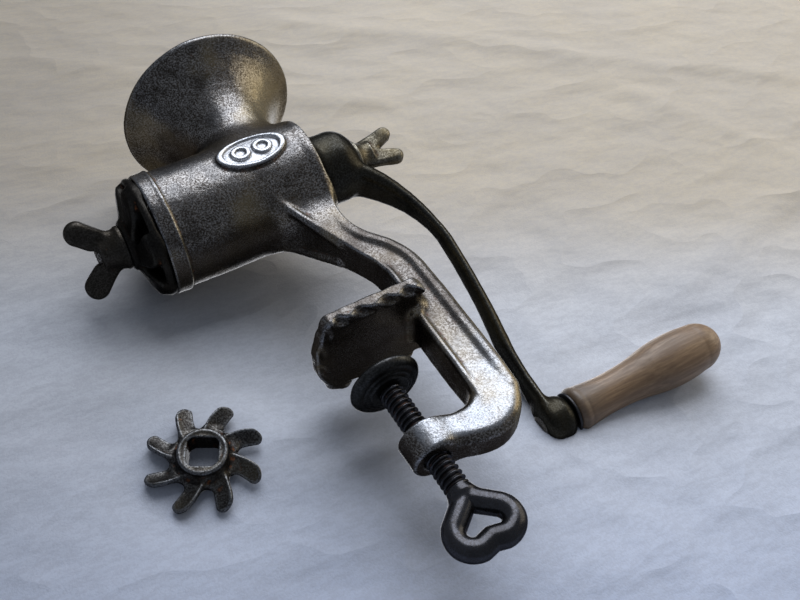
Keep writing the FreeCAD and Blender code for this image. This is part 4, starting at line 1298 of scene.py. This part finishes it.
TINNED = dict(dark=(0.038, 0.030, 0.023), light=(0.235, 0.222, 0.208), bright=(0.31, 0.33, 0.36))
DARK_IRON = dict(dark=(0.040, 0.039, 0.041), light=(0.052, 0.053, 0.060), bright=(0.09, 0.096, 0.113))
CRANK_IRON = dict(dark=(0.014, 0.013, 0.010), light=(0.041, 0.040, 0.035), bright=(0.20, 0.20, 0.185))
THUMB_IRON = dict(dark=(0.040, 0.035, 0.025), light=(0.14, 0.128, 0.10), bright=(0.34, 0.32, 0.27))
CUTTER_IRON = dict(dark=(0.010, 0.009, 0.008), light=(0.026, 0.024, 0.021), bright=(0.06, 0.058, 0.052))
NUT_IRON = dict(dark=(0.022, 0.019, 0.015), light=(0.055, 0.049, 0.042), bright=(0.08, 0.075, 0.068))
STAR_IRON = dict(dark=(0.020, 0.018, 0.017), light=(0.090, 0.088, 0.084), bright=(0.20, 0.21, 0.225))
PAD_IRON = dict(dark=(0.018, 0.018, 0.017), light=(0.050, 0.050, 0.049), bright=(0.11, 0.11, 0.115))
PIN_STEEL = dict(dark=(0.05, 0.047, 0.045), light=(0.16, 0.155, 0.15), bright=(0.3, 0.3, 0.3))
# The badge's colour: worn bright tin with a painted highlight.
BADGE_TIN_HIGHLIGHT = (0.40, 0.41, 0.43)


def casting_iron():
    # The casting gets painted light: a warm reflection on its +X sides, a highlight on its flat ±Y faces
    # and badge, and shade underneath and inside the clamp.
    return iron("tinned_iron", rust=0.45, olive=0.5, polish=0.23, grain=0.9, faces=0.72, painted_reflection=0.75,
                shade=0.8, badge=BADGE_TIN_HIGHLIGHT, **TINNED)


def machine_materials():
    """Each piece's material, by its node's name."""
    return {
        "body_casting": casting_iron(),
        "crank_arm": iron("crank_iron", rust=0.25, olive=0.4, polish=0.28, grain=0.8, **CRANK_IRON),
        "thumb_screw": iron("thumb_iron", rust=0.5, olive=0.5, polish=0.32, grain=0.9, **THUMB_IRON),
        "front_cutter": iron("cutter_iron", rust=0.9, olive=0.3, polish=0.36, **CUTTER_IRON),
        "front_wing_nut": iron("nut_iron", rust=0.4, olive=0.3, polish=0.36, **NUT_IRON),
        "star_cutter": iron("star_iron", rust=1.1, olive=0.4, polish=0.30, **STAR_IRON),
        "clamp_screw": iron("clamp_iron", rust=0.4, olive=0.0, polish=0.17, grain=0.25, edges=0.1,
                            **DARK_IRON),
        "swivel_pad": iron("pad_iron", rust=0.2, olive=0.0, polish=0.28, grain=0.6, **PAD_IRON),
        "wooden_grip": beech(),
        "feed_screw": iron("feed_iron", rust=0.5, olive=0.3, polish=0.32, **TINNED),
        "grip_pin": iron("pin_steel", rust=0.3, **PIN_STEEL),
        "grip_washer": iron("washer_iron", rust=0.3, olive=0.1, polish=0.33, **DARK_IRON),
    }


def paint_machine(skins):
    """Paint every piece: its skin where it has one, and otherwise its CAD node."""
    for name, material in machine_materials().items():
        paint(skins.get(name) or frame["nodes"][name], material)


def soften(node, cell_mm):
    """Give a CAD node that stays in view the eased edges of a casting."""
    piece = frame["nodes"][node]
    remesh = piece.modifiers.new("skin", "REMESH")
    remesh.mode = "VOXEL"
    remesh.voxel_size = cell_mm * MM
    remesh.use_smooth_shade = True
    smooth = piece.modifiers.new("ease", "SMOOTH")
    smooth.factor = 0.5
    smooth.iterations = 3


def build():
    skins = {
        "body_casting": make_casting(),
        "crank_arm": make_crank(),
        "wooden_grip": make_grip(),
        "front_wing_nut": make_front_nut(),
        "thumb_screw": make_thumb(),
        "front_cutter": make_cutter(),
        "star_cutter": make_star(),
        "clamp_screw": make_clamp(),
        "swivel_pad": make_pad(),
    }
    soften("feed_screw", 0.4)
    paint_machine(skins)
    make_sheet()
    make_camera()
    back = make_lights()
    make_room()
    link_back_light(back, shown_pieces())


build()
